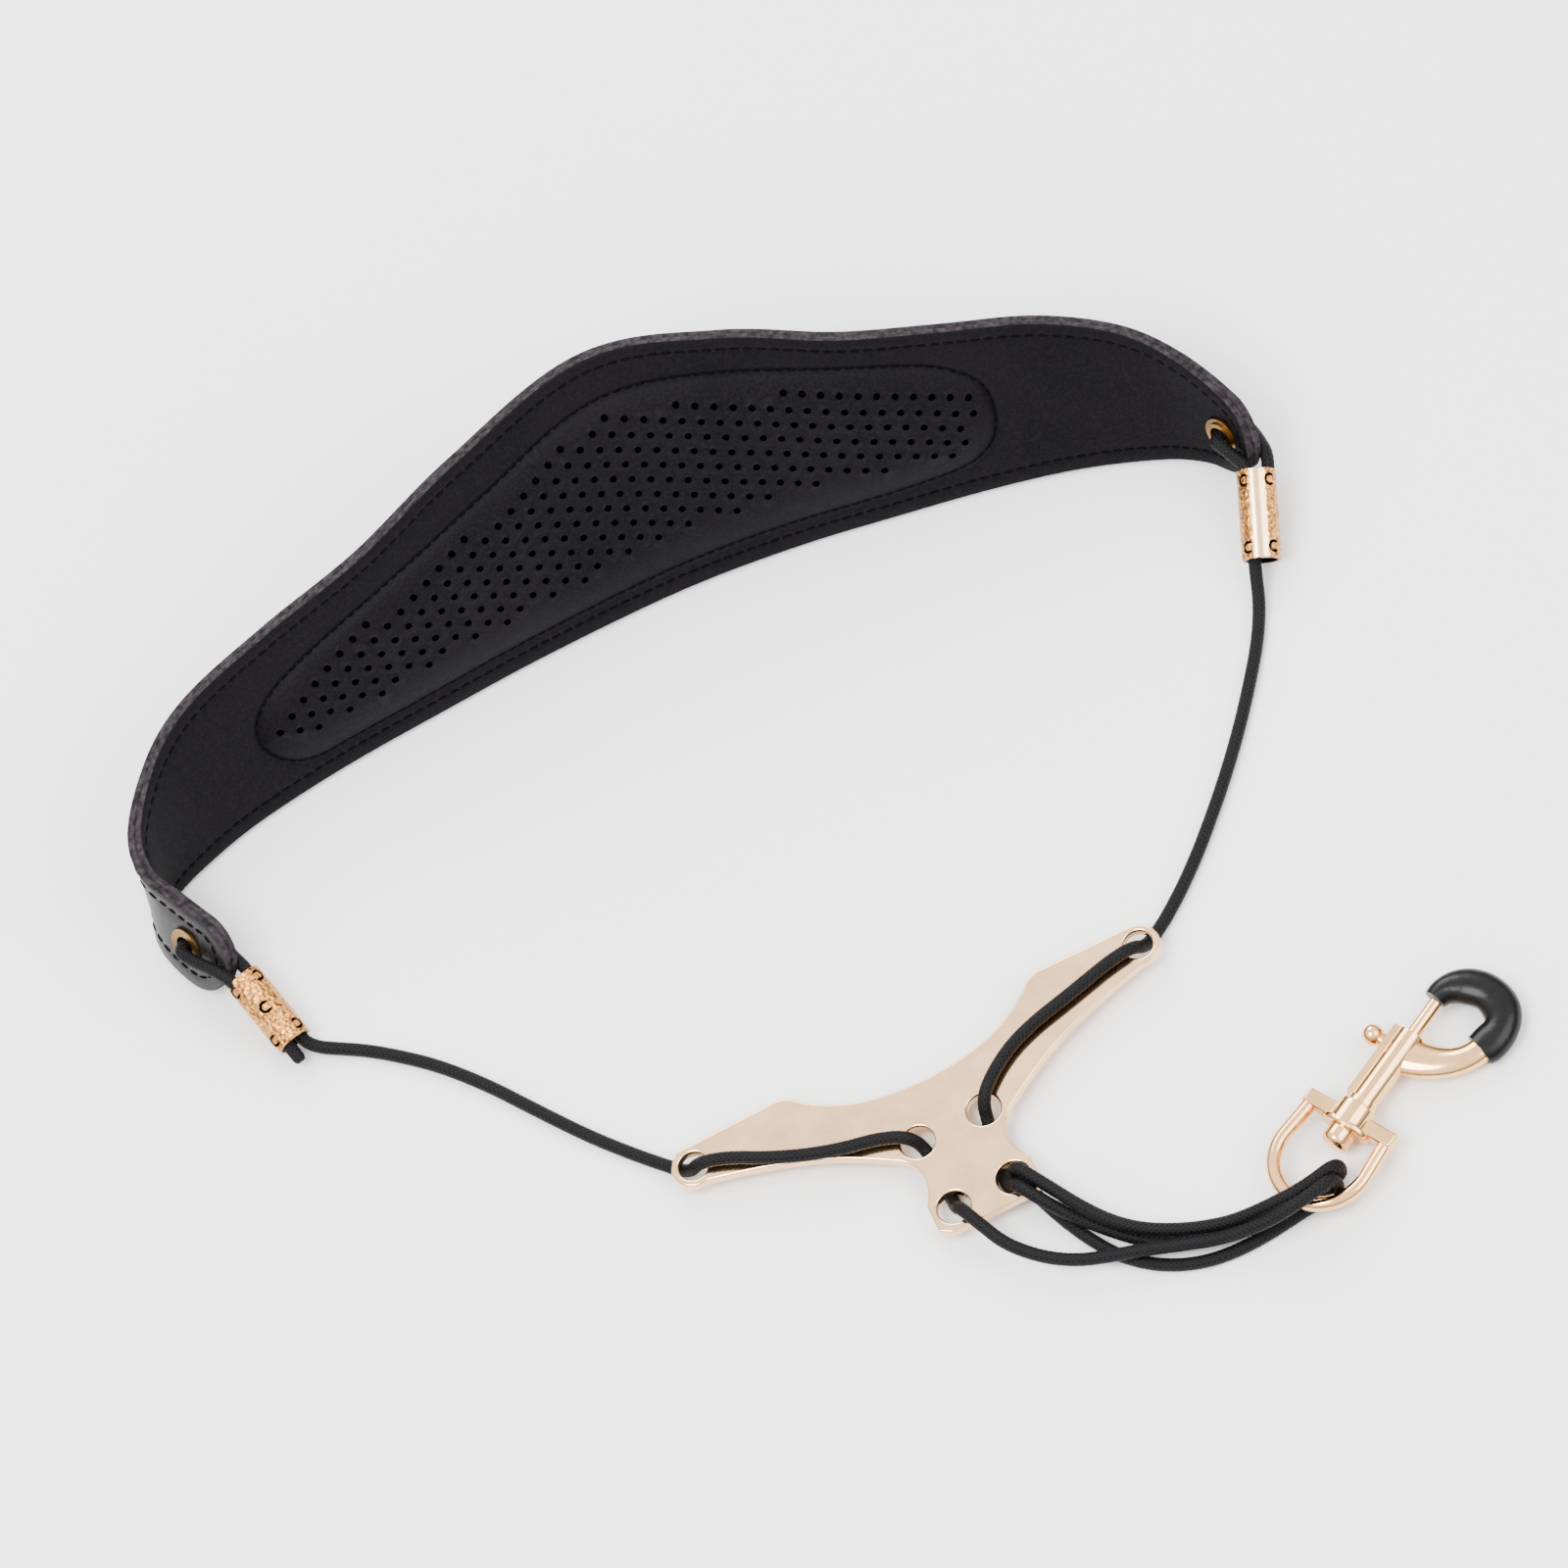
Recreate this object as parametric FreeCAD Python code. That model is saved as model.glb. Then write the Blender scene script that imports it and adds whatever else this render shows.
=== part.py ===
"""Saxophone neck strap lying on a table: leather neck band, cord, yoke plate and swivel snap hook.

Millimetres, +Z up, the table is Z = 0. X runs across the strap, Y runs from the snap hook (front, -Y)
to the neck band (back, +Y). The origin is the middle of the strap's footprint on the table.
"""
import FreeCAD, Part
import math
import os

V = FreeCAD.Vector
UP = V(0, 0, 1)
CUT_REACH = 5.0                       # how far a cutter goes past what it cuts

# ---------------------------------------------------------------- neck band
# Lower edge of the seam plane between the two leather layers, left tab to right tab:
# x, y, z, width of the band up the layer, lean outwards from upright in degrees.
BAND_ROWS = [
    (-128.0, 47.6, 3.05, 20.0, -26.0),
    (-133.2, 59.4, 1.45, 20.4, -25.0),
    (-135.3, 68.9, 1.05, 21.0, -19.0),
    (-133.8, 75.9, 1.05, 22.4, -7.0),
    (-128.2, 80.9, 1.05, 26.0, 9.0),
    (-118.5, 84.6, 1.05, 31.5, 20.0),
    (-104.5, 88.2, 1.05, 37.5, 25.0),
    (-82.0, 91.2, 1.05, 43.0, 24.0),
    (-56.0, 92.8, 1.05, 49.5, 22.5),
    (-28.0, 93.8, 1.05, 58.5, 25.0),
    (5.0, 93.1, 1.05, 65.4, 29.5),
    (32.0, 90.0, 1.05, 59.8, 28.0),
    (56.0, 85.4, 1.05, 51.3, 25.5),
    (78.0, 80.6, 1.05, 45.0, 26.5),
    (97.0, 75.2, 1.05, 40.5, 28.5),
    (113.0, 68.7, 1.05, 34.5, 28.5),
    (122.0, 63.6, 1.05, 28.0, 24.0),
    (127.6, 57.7, 1.35, 21.8, 20.5),
    (130.3, 49.2, 2.35, 20.0, 18.0),
]
OUTER_THICK = 1.8
INNER_THICK = 1.7
LAYER_GAP = 0.03          # half of the glue line between the layers
TAB_RADIUS = 10.0
TIP_ANGLES = (10.0, 30.0, 55.0)

PAD_START, PAD_END = 6.45, 13.29      # ends of the pad, in rows of BAND_ROWS
PAD_END_LENGTHS = (0.62, 0.72)        # length of the rounded ends, in rows
PAD_MARGIN_LOW, PAD_MARGIN_HIGH = 6.3, 8.8
PAD_RISE = 3.4                        # crown of the pad above the leather around it
PAD_SLOPE = 4.0                       # width of the pad's sloping side
PAD_SLOPE_SHARE = 0.4                 # most of a section's half width that one slope takes
ROUND_END_ANGLES = (12.0, 32.0, 58.0)
COVER_THICK = 1.2                     # leather over the foam
POCKET_INSET = 1.6                    # from the pad's outline to the side of the foam's pocket
POCKET_PAST_SEAM = 0.5                # the pocket goes through the whole inner layer
FOAM_FIT = 0.15
FOAM_TRIM = 0.02                      # in rows, at each end of the foam

# ---------------------------------------------------------------- eyelets
LEFT_EYELET_FROM_TIP = 13.3
RIGHT_EYELET_FROM_TIP = 10.0
EYELET_BORE_R = 2.6
EYELET_TUBE_R = 2.95
EYELET_FLANGE_R = 4.5
EYELET_FLANGE_THICK = 0.6
EYELET_SEAT = 0.15                    # flange's underside above the leather's nominal face
EYELET_FIT = 0.1
EYELET_LIP = 0.6                      # the lip rolled over the washer
ROLL_GAP = 0.02

# ---------------------------------------------------------------- beads
BEAD_R = 4.45
BEAD_BORE_R = 3.55
LEFT_BEAD = (V(-118.7, 29.8, 4.6), V(-122.9, 47.5, 10.6))      # middle of the open end, of the tab end
RIGHT_BEAD = (V(124.4, 29.6, 4.6), V(132.3, 47.5, 11.2))
BEAD_SPINS = {"left": -173.4, "right": -102.0}      # turn of each bead about its own axis, in degrees
CRESCENT_R, CRESCENT_HALF_WIDTH = 1.15, 0.36
CRESCENT_OPENING = 1.5                # width of the gap in each crescent
CRESCENT_ENDS = (0.13, 0.87)          # places along the bead of the crescents near its ends
CRESCENT_END_ANGLES = (42.0, 138.0, 222.0, 318.0)
CRESCENT_MIDDLE_ANGLES = (90.0, 270.0)
BEAD_RIM_FILLET = 0.3

# ---------------------------------------------------------------- yoke plate
PLATE_MIDDLE = V(5.0, -45.4, 0.0)     # midway between the two wing tip holes
PLATE_BOTTOM, PLATE_TOP = 3.4, 6.0
PLATE_HOLES = [(55.5, 0.0, 3.4), (8.2, -20.2, 3.9), (7.4, -39.1, 3.9)]      # x, y, radius of one side
PLATE_EDGE_FILLET = 0.5
HOLE_EDGE_FILLET = 0.6
NOTCH = [(0.0, -6.4), (11.0, -5.4), (17.0, -3.8), (23.0, -0.9), (28.0, 2.8)]
SHOULDER = [(28.0, 2.8), (30.2, 4.75), (33.0, 5.5)]
WING_TIP = [(55.5, 5.1), (60.6, 0.0), (54.2, -4.95)]
WING_UNDERSIDE = [(54.2, -4.95), (44.5, -7.7), (36.7, -10.3), (29.2, -13.4), (21.5, -17.6), (15.1, -21.8)]
WAIST = [(15.1, -21.8), (11.6, -25.2), (10.4, -28.5), (10.7, -31.5), (12.8, -36.0)]
FOOT = [(12.8, -36.0), (12.9, -43.1), (10.2, -44.8), (0.0, -44.8)]

# ---------------------------------------------------------------- ring and snap hook
# The hook's own axes: a along the shank towards the hook's nose, b square to it, n square to both.
HOOK_ORIGIN = V(85.2, -109.2, 4.8)
HOOK_HEADING = 30.7                   # of the shank, from +X
HOOK_ROLL = 5.3                       # about the shank, so that the nose lies on the table
RING_WIRE_R = 1.75
RING_BOW_R = 11.2                     # to the middle of the wire
RING_BOW_AT = -11.0
RING_LEG_SLOPE = 5.0                  # degrees that the legs close towards the bar
RING_BAR_HALF, RING_BAR_SIDE, RING_BAR_FILLET = 12.2, 3.8, 0.7
COLLAR_FILLET = 0.4
BOSS_HALF_WIDTH, BOSS_HALF_HEIGHT, BOSS_LENGTH, BOSS_FILLET = 6.4, 4.6, 1.5, 0.5
COLLAR_R, COLLAR_FROM, COLLAR_TO = 4.75, -3.0, 3.5
SHANK_R, SHANK_FIT = 2.0, 0.05
END_PLAY = 0.08
RIVET_R, RIVET_LENGTH, RIVET_DOME_FILLET = 3.3, 4.4, 1.8
BARREL_R, BARREL_END = 3.25, 24.0
SHANK_FLANGE_R, SHANK_FLANGE_LENGTH = 3.7, 1.4
BOLT_R, BOLT_FIT = 1.65, 0.06
BOLT_TAIL, BOLT_TIP, BOLT_TIP_FILLET = 18.0, 33.55, 0.3
BOLT_TRAVEL = 9.4
BORE_FROM = 6.4
KNOB_AT, KNOB_NECK_R, KNOB_BALL_R, KNOB_REACH = 19.6, 1.0, 2.5, 7.6
KNOB_FOOT_R, KNOB_FOOT_FROM, KNOB_FOOT_TO = 1.7, 4.5, 5.4
KNOB_SOCKET = 1.0                     # depth to which the knob's neck is pressed into the bolt
SLOT_FIT = 0.08
SLOT_RAIL = (0.75, 1.1)               # width and height of the raised lip along each side of the slot
# Middle line of the hook's arm: a, b, heading from +a in degrees, width, height.
ARM = [(19.0, 0.6, 90.0, 9.4, 4.4), (20.3, 6.0, 74.0, 8.2, 4.6), (24.2, 12.2, 45.0, 6.6, 4.7),
       (29.2, 15.0, 17.0, 6.3, 4.8)]
CORE = [(29.2, 15.0, 17.0, 4.6, 3.6), (34.4, 16.3, 2.0, 4.6, 3.6), (39.0, 14.6, -44.0, 4.6, 3.6),
        (41.4, 9.6, -78.0, 4.6, 3.6), (40.4, 4.4, -118.0, 4.6, 3.6), (37.4, 1.4, -152.0, 3.8, 3.6)]
COVER = [(29.0, 14.95, 17.0, 8.0, 6.2), (34.4, 16.2, 2.0, 8.6, 6.4), (39.0, 14.4, -44.0, 8.7, 6.4),
         (41.4, 9.6, -78.0, 8.7, 6.4), (40.4, 4.0, -118.0, 8.6, 6.4), (37.2, 0.4, -152.0, 7.0, 6.0),
         (33.9, -0.6, -176.0, 5.4, 5.0)]
SPRING_WIRE_R, SPRING_COIL_R, SPRING_TURNS = 0.2, 1.25, 4.5
SPRING_END_GAP = 0.02

# ---------------------------------------------------------------- cord
CORD_R = 1.5
# One cord runs from the left tab to the right one. Its hidden joints are in the beads and under the plate.
CORDS = {
    "cord_left_loop": [
        (-119.2, 24.9, 3.9), (-121.3, 34.1, 7.2), (-123.3, 41.9, 9.6), (-125.7, 47.3, 13.4),
        (-128.6, 51.8, 13.5), (-131.3, 55.9, 12.7), (-133.5, 60.4, 12.7), (-125.6, 63.3, 8.6),
        (-123.9, 58.7, 9.3), (-122.7, 54.1, 9.7), (-121.2, 49.1, 10.9), (-120.1, 42.8, 8.1),
        (-118.6, 36.4, 5.9)],
    "cord_left_span": [
        (-118.6, 36.4, 5.9), (-117.2, 30.5, 3.9), (-114.9, 27.4, 2.4), (-110.2, 24.7, 1.6),
        (-104.6, 21.0, 1.5), (-98.0, 15.3, 1.5), (-91.6, 9.0, 1.5), (-83.7, -1.1, 1.5),
        (-76.4, -12.5, 1.5), (-69.0, -23.6, 1.5), (-62.9, -31.6, 1.5), (-57.2, -38.4, 1.5),
        (-51.9, -44.3, 1.5), (-49.1, -46.2, 7.6), (-42.6, -48.4, 7.6), (-34.9, -53.0, 7.6),
        (-26.6, -56.9, 7.6), (-18.6, -59.6, 7.6), (-11.0, -61.2, 7.6), (-4.4, -64.2, 7.6),
        (-1.8, -66.9, 1.5), (-2.0, -74.6, 1.5)],
    "cord_ring_loop_near": [
        (-2.0, -74.6, 1.5), (-2.2, -82.7, 1.5), (-1.4, -86.0, 7.6), (1.2, -92.6, 7.6),
        (4.0, -99.0, 6.8), (8.6, -104.2, 5.8), (13.2, -107.9, 5.1), (18.5, -110.9, 4.8),
        (24.7, -113.1, 4.75), (31.2, -115.2, 4.75), (39.4, -118.4, 4.75), (46.0, -121.1, 5.1),
        (52.6, -123.2, 6.3), (58.6, -124.6, 8.0), (64.2, -125.0, 9.6), (69.4, -124.3, 9.8),
        (76.0, -122.7, 9.6), (76.0, -122.7, 1.5), (69.2, -122.4, 1.5), (61.0, -123.6, 1.5),
        (53.1, -124.3, 1.5), (44.7, -123.8, 1.5), (37.2, -121.3, 1.5), (30.8, -117.3, 1.5),
        (25.2, -111.4, 1.5), (20.8, -103.7, 1.5), (17.0, -94.6, 1.5), (15.2, -88.6, 1.5)],
    "cord_ring_loop_far": [
        (15.2, -88.6, 1.5), (13.4, -82.6, 1.5), (13.4, -82.6, 7.9), (16.4, -87.9, 7.9),
        (19.2, -92.9, 7.6), (22.6, -98.7, 6.7), (26.6, -104.4, 5.8), (31.4, -109.2, 5.1),
        (36.8, -112.8, 4.8), (43.2, -116.0, 4.7), (50.4, -118.6, 5.0), (56.0, -120.0, 6.4),
        (61.2, -121.0, 8.0), (66.5, -121.2, 8.4), (71.6, -120.5, 8.3), (78.2, -119.0, 8.2),
        (78.2, -119.0, 1.5), (71.4, -118.4, 1.5), (63.4, -119.3, 1.5), (55.2, -120.0, 1.5),
        (47.4, -119.2, 1.5), (39.6, -116.2, 1.5), (31.9, -111.3, 1.6), (27.0, -106.4, 2.2),
        (22.5, -101.5, 3.4), (18.4, -96.7, 5.1), (14.9, -92.2, 7.4), (12.0, -86.9, 7.7),
        (9.9, -84.2, 1.5), (11.3, -75.9, 1.5)],
    "cord_right_span": [
        (11.3, -75.9, 1.5), (12.7, -67.6, 1.5), (13.9, -64.2, 7.6), (18.6, -59.3, 7.6),
        (25.2, -54.9, 7.6), (32.6, -52.2, 7.6), (40.4, -50.4, 7.6), (47.2, -48.6, 7.6),
        (53.0, -47.1, 7.6), (59.0, -46.3, 7.6), (62.0, -44.6, 1.5), (67.3, -41.4, 1.5),
        (73.8, -36.3, 1.5), (80.9, -29.8, 1.5), (88.3, -22.0, 1.5), (95.4, -14.0, 1.5),
        (103.0, -4.6, 1.5), (110.4, 5.7, 1.5), (115.6, 13.6, 1.5), (119.6, 21.4, 1.9),
        (122.0, 27.8, 4.7), (125.5, 36.1, 7.7)],
    "cord_right_loop": [
        (126.7, 31.0, 4.4), (130.3, 39.0, 7.5), (134.4, 45.4, 10.2), (136.3, 50.0, 11.3),
        (136.2, 54.0, 10.6), (135.8, 57.6, 9.8), (134.6, 62.2, 10.1), (126.7, 58.2, 13.2),
        (128.1, 55.6, 13.1), (129.2, 52.5, 12.5), (130.9, 48.4, 12.7), (128.4, 42.5, 10.0),
        (125.5, 36.1, 7.7)],
}


# ================================================================= helpers
def export(name, shape):
    """Check that a sub-part is closed and sound, and write it."""
    bad = [s for s in shape.Solids if not s.isValid() or s.Volume <= 0]
    if not shape.Solids or bad:
        raise ValueError(name + " is not a sound solid")
    os.makedirs("parts", exist_ok=True)
    shape.exportStep("parts/" + name + ".step")
    box = shape.BoundBox
    print("%-22s %8.1f mm3  z %.2f..%.2f" % (name, shape.Volume, box.ZMin, box.ZMax))


def blend_rows(rows, t):
    """Catmull-Rom value of a table of rows at the row number t, which may be a fraction."""
    last = len(rows) - 1
    i = max(0, min(int(math.floor(t)), last - 1))
    u = t - i
    a, b, c, d = (rows[max(0, min(last, k))] for k in (i - 1, i, i + 1, i + 2))
    out = []
    for p, q, r, s in zip(a, b, c, d):
        out.append(0.5 * (2 * q + (r - p) * u + (2 * p - 5 * q + 4 * r - s) * u ** 2
                          + (3 * q - p - 3 * r + s) * u ** 3))
    return out


def tube(points, radius, label=None):
    """Round tube along straight runs joined by tangent arcs; label prints the arcs' radii."""
    runs = [(points[i + 1] - points[i]).Length for i in range(len(points) - 1)]
    edges = []
    radii = []
    start = points[0]
    for i in range(1, len(points) - 1):
        before = (points[i] - points[i - 1]).normalize()
        after = (points[i + 1] - points[i]).normalize()
        half_turn = before.getAngle(after) / 2
        reach = 0.45 * min(runs[i - 1], runs[i])
        radius_here = reach / math.tan(half_turn)
        arc_start = points[i] - before * reach
        arc_end = points[i] + after * reach
        inward = (after - before).normalize()
        middle = points[i] + inward * (radius_here / math.cos(half_turn) - radius_here)
        edges.append(Part.LineSegment(start, arc_start).toShape())
        edges.append(Part.Arc(arc_start, middle, arc_end).toShape())
        radii.append(radius_here)
        start = arc_end
    edges.append(Part.LineSegment(start, points[-1]).toShape())
    path = Part.Wire(edges)
    direction = points[1] - points[0]
    profile = Part.Wire([Part.Circle(points[0], direction, radius).toShape()])
    solid = path.makePipeShell([profile], True, False)
    expected = math.pi * radius ** 2 * path.Length
    if label:
        print("%s: length %.1f, radii %s" % (label, path.Length, " ".join("%.1f" % r for r in radii)))
        print("   volume %.1f, section times length %.1f" % (solid.Volume, expected))
    return solid


def cylinder(start, end, radius):
    """Solid cylinder between two points."""
    axis = end - start
    return Part.makeCylinder(radius, axis.Length, start, axis)


# ================================================================= neck band
def band_edges(t):
    """Lower and upper point of the seam plane at row t."""
    x, y, z, width, lean = blend_rows(BAND_ROWS, t)
    step = 0.01
    ahead = blend_rows(BAND_ROWS, min(t + step, len(BAND_ROWS) - 1))
    behind = blend_rows(BAND_ROWS, max(t - step, 0.0))
    along = V(ahead[0] - behind[0], ahead[1] - behind[1], 0).normalize()
    outward = V(-along.y, along.x, 0)
    rise = outward * math.sin(math.radians(lean)) + UP * math.cos(math.radians(lean))
    lower = V(x, y, z)
    return lower, lower + rise * width


def band_point(t, share):
    """Point of the seam plane at row t, at a share of its width from the lower edge."""
    lower, upper = band_edges(t)
    return lower + (upper - lower) * share


def band_normal(t):
    """Unit normal of the seam plane at row t, pointing away from the neck."""
    step = 0.05
    along = band_point(min(t + step, len(BAND_ROWS) - 1), 0.5) - band_point(max(t - step, 0.0), 0.5)
    lower, upper = band_edges(t)
    return (upper - lower).cross(along).normalize()


def tab_rows():
    """Row number and share of the full width at which the rounded tabs are sectioned."""
    last = len(BAND_ROWS) - 1
    left_length = (band_point(1, 0.5) - band_point(0, 0.5)).Length
    right_length = (band_point(last, 0.5) - band_point(last - 1, 0.5)).Length
    left, right = [], []
    for angle in TIP_ANGLES:
        depth = TAB_RADIUS * (1 - math.cos(math.radians(angle)))
        share = math.sin(math.radians(angle))
        left.append((depth / left_length, share))
        right.insert(0, (last - depth / right_length, share))
    return left, right


def band_sections():
    """Row number and width share of every section of the band, left to right."""
    left, right = tab_rows()
    last = len(BAND_ROWS) - 1
    body = [(0.7, 1.0)] + [(float(i), 1.0) for i in range(1, last - 1)] + [(last - 1.1, 1.0)]
    return left + body + right


def layer(inner_offset, outer_offset):
    """One leather layer: a loft of thin cross-sections between two offsets from the seam plane."""
    wires = []
    for t, share in band_sections():
        normal = band_normal(t)
        low = band_point(t, 0.5 - share / 2)
        high = band_point(t, 0.5 + share / 2)
        corners = [low + normal * inner_offset, high + normal * inner_offset,
                   high + normal * outer_offset, low + normal * outer_offset]
        wires.append(Part.makePolygon(corners + corners[:1]))
    return Part.makeLoft(wires, True, False)


def pad_sections(trim):
    """Row number and height share of the pad's sections, with rounded ends each trimmed by some rows."""
    start_length, end_length = (length - trim for length in PAD_END_LENGTHS)
    start, end = [], []
    for angle in ROUND_END_ANGLES:
        depth = 1 - math.cos(math.radians(angle))
        share = math.sin(math.radians(angle))
        start.append((PAD_START + trim + start_length * depth, share))
        end.insert(0, (PAD_END - trim - end_length * depth, share))
    start.append((PAD_START + PAD_END_LENGTHS[0], 1.0))
    end.insert(0, (PAD_END - PAD_END_LENGTHS[1], 1.0))
    return start + [(float(row), 1.0) for row in range(8, 13)] + end


def pad_block(base, top, inset, trim=0.0):
    """Solid of the pad's outline between two offsets towards the neck, its sides sloping in."""
    wires = []
    for t, share in pad_sections(trim):
        lower, upper = band_edges(t)
        width = (upper - lower).Length
        rise = (upper - lower).normalize()
        inward = band_normal(t) * -1
        middle = (PAD_MARGIN_LOW + width - PAD_MARGIN_HIGH) / 2
        half = (width - PAD_MARGIN_LOW - PAD_MARGIN_HIGH) / 2 * share - inset
        slope = min(PAD_SLOPE, PAD_SLOPE_SHARE * half)
        low = lower + rise * (middle - half)
        high = lower + rise * (middle + half)
        corners = [low + inward * base, high + inward * base,
                   high - rise * slope + inward * top, low + rise * slope + inward * top]
        wires.append(Part.makePolygon(corners + corners[:1]))
    return Part.makeLoft(wires, True, False)


def eyelet_seats():
    """Offsets from the seam plane of the leather under the eyelet's flange and under its washer."""
    return LAYER_GAP + OUTER_THICK + EYELET_SEAT, -(LAYER_GAP + INNER_THICK + EYELET_SEAT)


def eyelet_rows():
    """Row numbers of the left and right eyelet."""
    last = len(BAND_ROWS) - 1
    left_length = (band_point(1, 0.5) - band_point(0, 0.5)).Length
    right_length = (band_point(last, 0.5) - band_point(last - 1, 0.5)).Length
    return LEFT_EYELET_FROM_TIP / left_length, last - RIGHT_EYELET_FROM_TIP / right_length


def make_band():
    outer = layer(LAYER_GAP, LAYER_GAP + OUTER_THICK)
    sheet = layer(-LAYER_GAP - INNER_THICK, -LAYER_GAP)
    crown = INNER_THICK + PAD_RISE
    shell = pad_block(INNER_THICK / 2, crown, 0.0)
    pocket = pad_block(-POCKET_PAST_SEAM, crown - COVER_THICK, POCKET_INSET)
    foam = pad_block(-POCKET_PAST_SEAM, crown - COVER_THICK - FOAM_FIT, POCKET_INSET + FOAM_FIT, FOAM_TRIM)
    foam = foam.cut(layer(0.0, 2 * POCKET_PAST_SEAM))
    inner = sheet.fuse(shell).cut(pocket)
    for t in eyelet_rows():
        middle = band_point(t, 0.5)
        normal = band_normal(t)
        hole = cylinder(middle - normal * CUT_REACH, middle + normal * CUT_REACH, EYELET_TUBE_R + EYELET_FIT)
        outer_seat, inner_seat = eyelet_seats()
        press_r = EYELET_FLANGE_R + EYELET_FIT
        outer_press = cylinder(middle + normal * outer_seat, middle + normal * CUT_REACH, press_r)
        inner_press = cylinder(middle + normal * inner_seat, middle - normal * CUT_REACH, press_r)
        outer = outer.cut(hole).cut(outer_press)
        inner = inner.cut(hole).cut(inner_press)
    export("outer_leather", outer)
    export("inner_leather", inner)
    export("pad_foam", foam)


def make_eyelet(middle, normal):
    """Eyelet with its flange on the outside, and the washer it is rolled over on the neck side."""
    outside, inside = eyelet_seats()
    flange_end = outside + EYELET_FLANGE_THICK
    washer_end = inside - EYELET_FLANGE_THICK
    lip_end = washer_end - EYELET_FLANGE_THICK
    body = cylinder(middle + normal * lip_end, middle + normal * flange_end, EYELET_TUBE_R)
    flange = cylinder(middle + normal * outside, middle + normal * flange_end, EYELET_FLANGE_R)
    lip_start = washer_end - ROLL_GAP
    lip = cylinder(middle + normal * lip_end, middle + normal * lip_start, EYELET_TUBE_R + EYELET_LIP)
    bore = cylinder(middle + normal * (lip_end - 1), middle + normal * (flange_end + 1), EYELET_BORE_R)
    washer = cylinder(middle + normal * washer_end, middle + normal * inside, EYELET_FLANGE_R)
    washer_hole = cylinder(middle + normal * (washer_end - 1), middle + normal * (inside + 1),
                           EYELET_TUBE_R + EYELET_FIT / 2)
    return body.fuse(flange).fuse(lip).cut(bore).removeSplitter(), washer.cut(washer_hole)


def make_eyelets():
    eyelets, washers = [], []
    for t in eyelet_rows():
        eyelet, washer = make_eyelet(band_point(t, 0.5), band_normal(t))
        eyelets.append(eyelet)
        washers.append(washer)
    export("tab_eyelets", Part.makeCompound(eyelets))
    export("eyelet_washers", Part.makeCompound(washers))


# ================================================================= beads
def crescent(place, angle, facing):
    """Cutter for one crescent: a radial ring with a gap, facing +1 or -1 round the bead."""
    reach = BEAD_R + 1
    outer = Part.makeCylinder(CRESCENT_R + CRESCENT_HALF_WIDTH, reach, V(0, 0, place), V(1, 0, 0))
    inner = Part.makeCylinder(CRESCENT_R - CRESCENT_HALF_WIDTH, reach, V(0, 0, place), V(1, 0, 0))
    size = CRESCENT_R * 2
    gap = Part.makeBox(reach, size, CRESCENT_OPENING, V(0, 0, place - CRESCENT_OPENING / 2))
    cutter = outer.cut(inner).cut(gap)
    if facing < 0:
        cutter = cutter.mirror(V(0, 0, 0), V(0, 1, 0))
    cutter.rotate(V(0, 0, 0), UP, angle)
    return cutter


def make_bead(side, ends):
    """Tube with pierced crescents, built upright and then laid between its two ends."""
    start, end = ends
    length = (end - start).Length
    bead = Part.makeCylinder(BEAD_R, length)
    rims = [e for e in bead.Edges if e.Curve.TypeId == "Part::GeomCircle"]
    bead = bead.makeFillet(BEAD_RIM_FILLET, rims)
    bead = bead.cut(Part.makeCylinder(BEAD_BORE_R, length + 2, V(0, 0, -1)))
    for share in CRESCENT_ENDS:
        for angle in CRESCENT_END_ANGLES:
            facing = 1 if math.cos(math.radians(angle)) > 0 else -1
            bead = bead.cut(crescent(length * share, angle, facing))
    for angle in CRESCENT_MIDDLE_ANGLES:
        bead = bead.cut(crescent(length / 2, angle, 1))
    bead.rotate(V(0, 0, 0), UP, BEAD_SPINS[side])
    bead.Placement = FreeCAD.Placement(start, FreeCAD.Rotation(UP, end - start)).multiply(bead.Placement)
    export(side + "_bead", bead)


# ================================================================= yoke plate
def spline(points):
    """Smooth curve through points given in the plate's plane."""
    curve = Part.BSplineCurve()
    curve.interpolate([V(x, y, 0) for x, y in points])
    return curve.toShape()


def straight(points):
    """Straight edges through points given in the plate's plane."""
    return [Part.LineSegment(V(*a, 0), V(*b, 0)).toShape() for a, b in zip(points, points[1:])]


def arc(points):
    """Arc through three points given in the plate's plane."""
    return Part.Arc(*[V(x, y, 0) for x, y in points]).toShape()


def make_plate():
    half = [spline(NOTCH), arc(SHOULDER)]
    half += straight([SHOULDER[-1], WING_TIP[0]])
    half += [arc(WING_TIP), spline(WING_UNDERSIDE), spline(WAIST)]
    half += straight(FOOT)
    other = [edge.mirror(V(0, 0, 0), V(1, 0, 0)) for edge in half]
    outline = Part.Wire(Part.__sortEdges__(half + other))
    thickness = PLATE_TOP - PLATE_BOTTOM
    plate = Part.Face(outline).extrude(V(0, 0, thickness))
    plate = plate.makeFillet(PLATE_EDGE_FILLET, [e for e in plate.Edges if e.BoundBox.ZLength < 1e-4])
    for x, y, radius in PLATE_HOLES:
        for sign in (-1, 1):
            plate = plate.cut(Part.makeCylinder(radius, thickness + 2, V(sign * x, y, -1)))
    rims = [e for e in plate.Edges if e.Curve.TypeId == "Part::GeomCircle" and e.isClosed()]
    plate = plate.makeFillet(HOLE_EDGE_FILLET, rims)
    plate.translate(PLATE_MIDDLE + UP * PLATE_BOTTOM)
    export("yoke_plate", plate)


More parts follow.
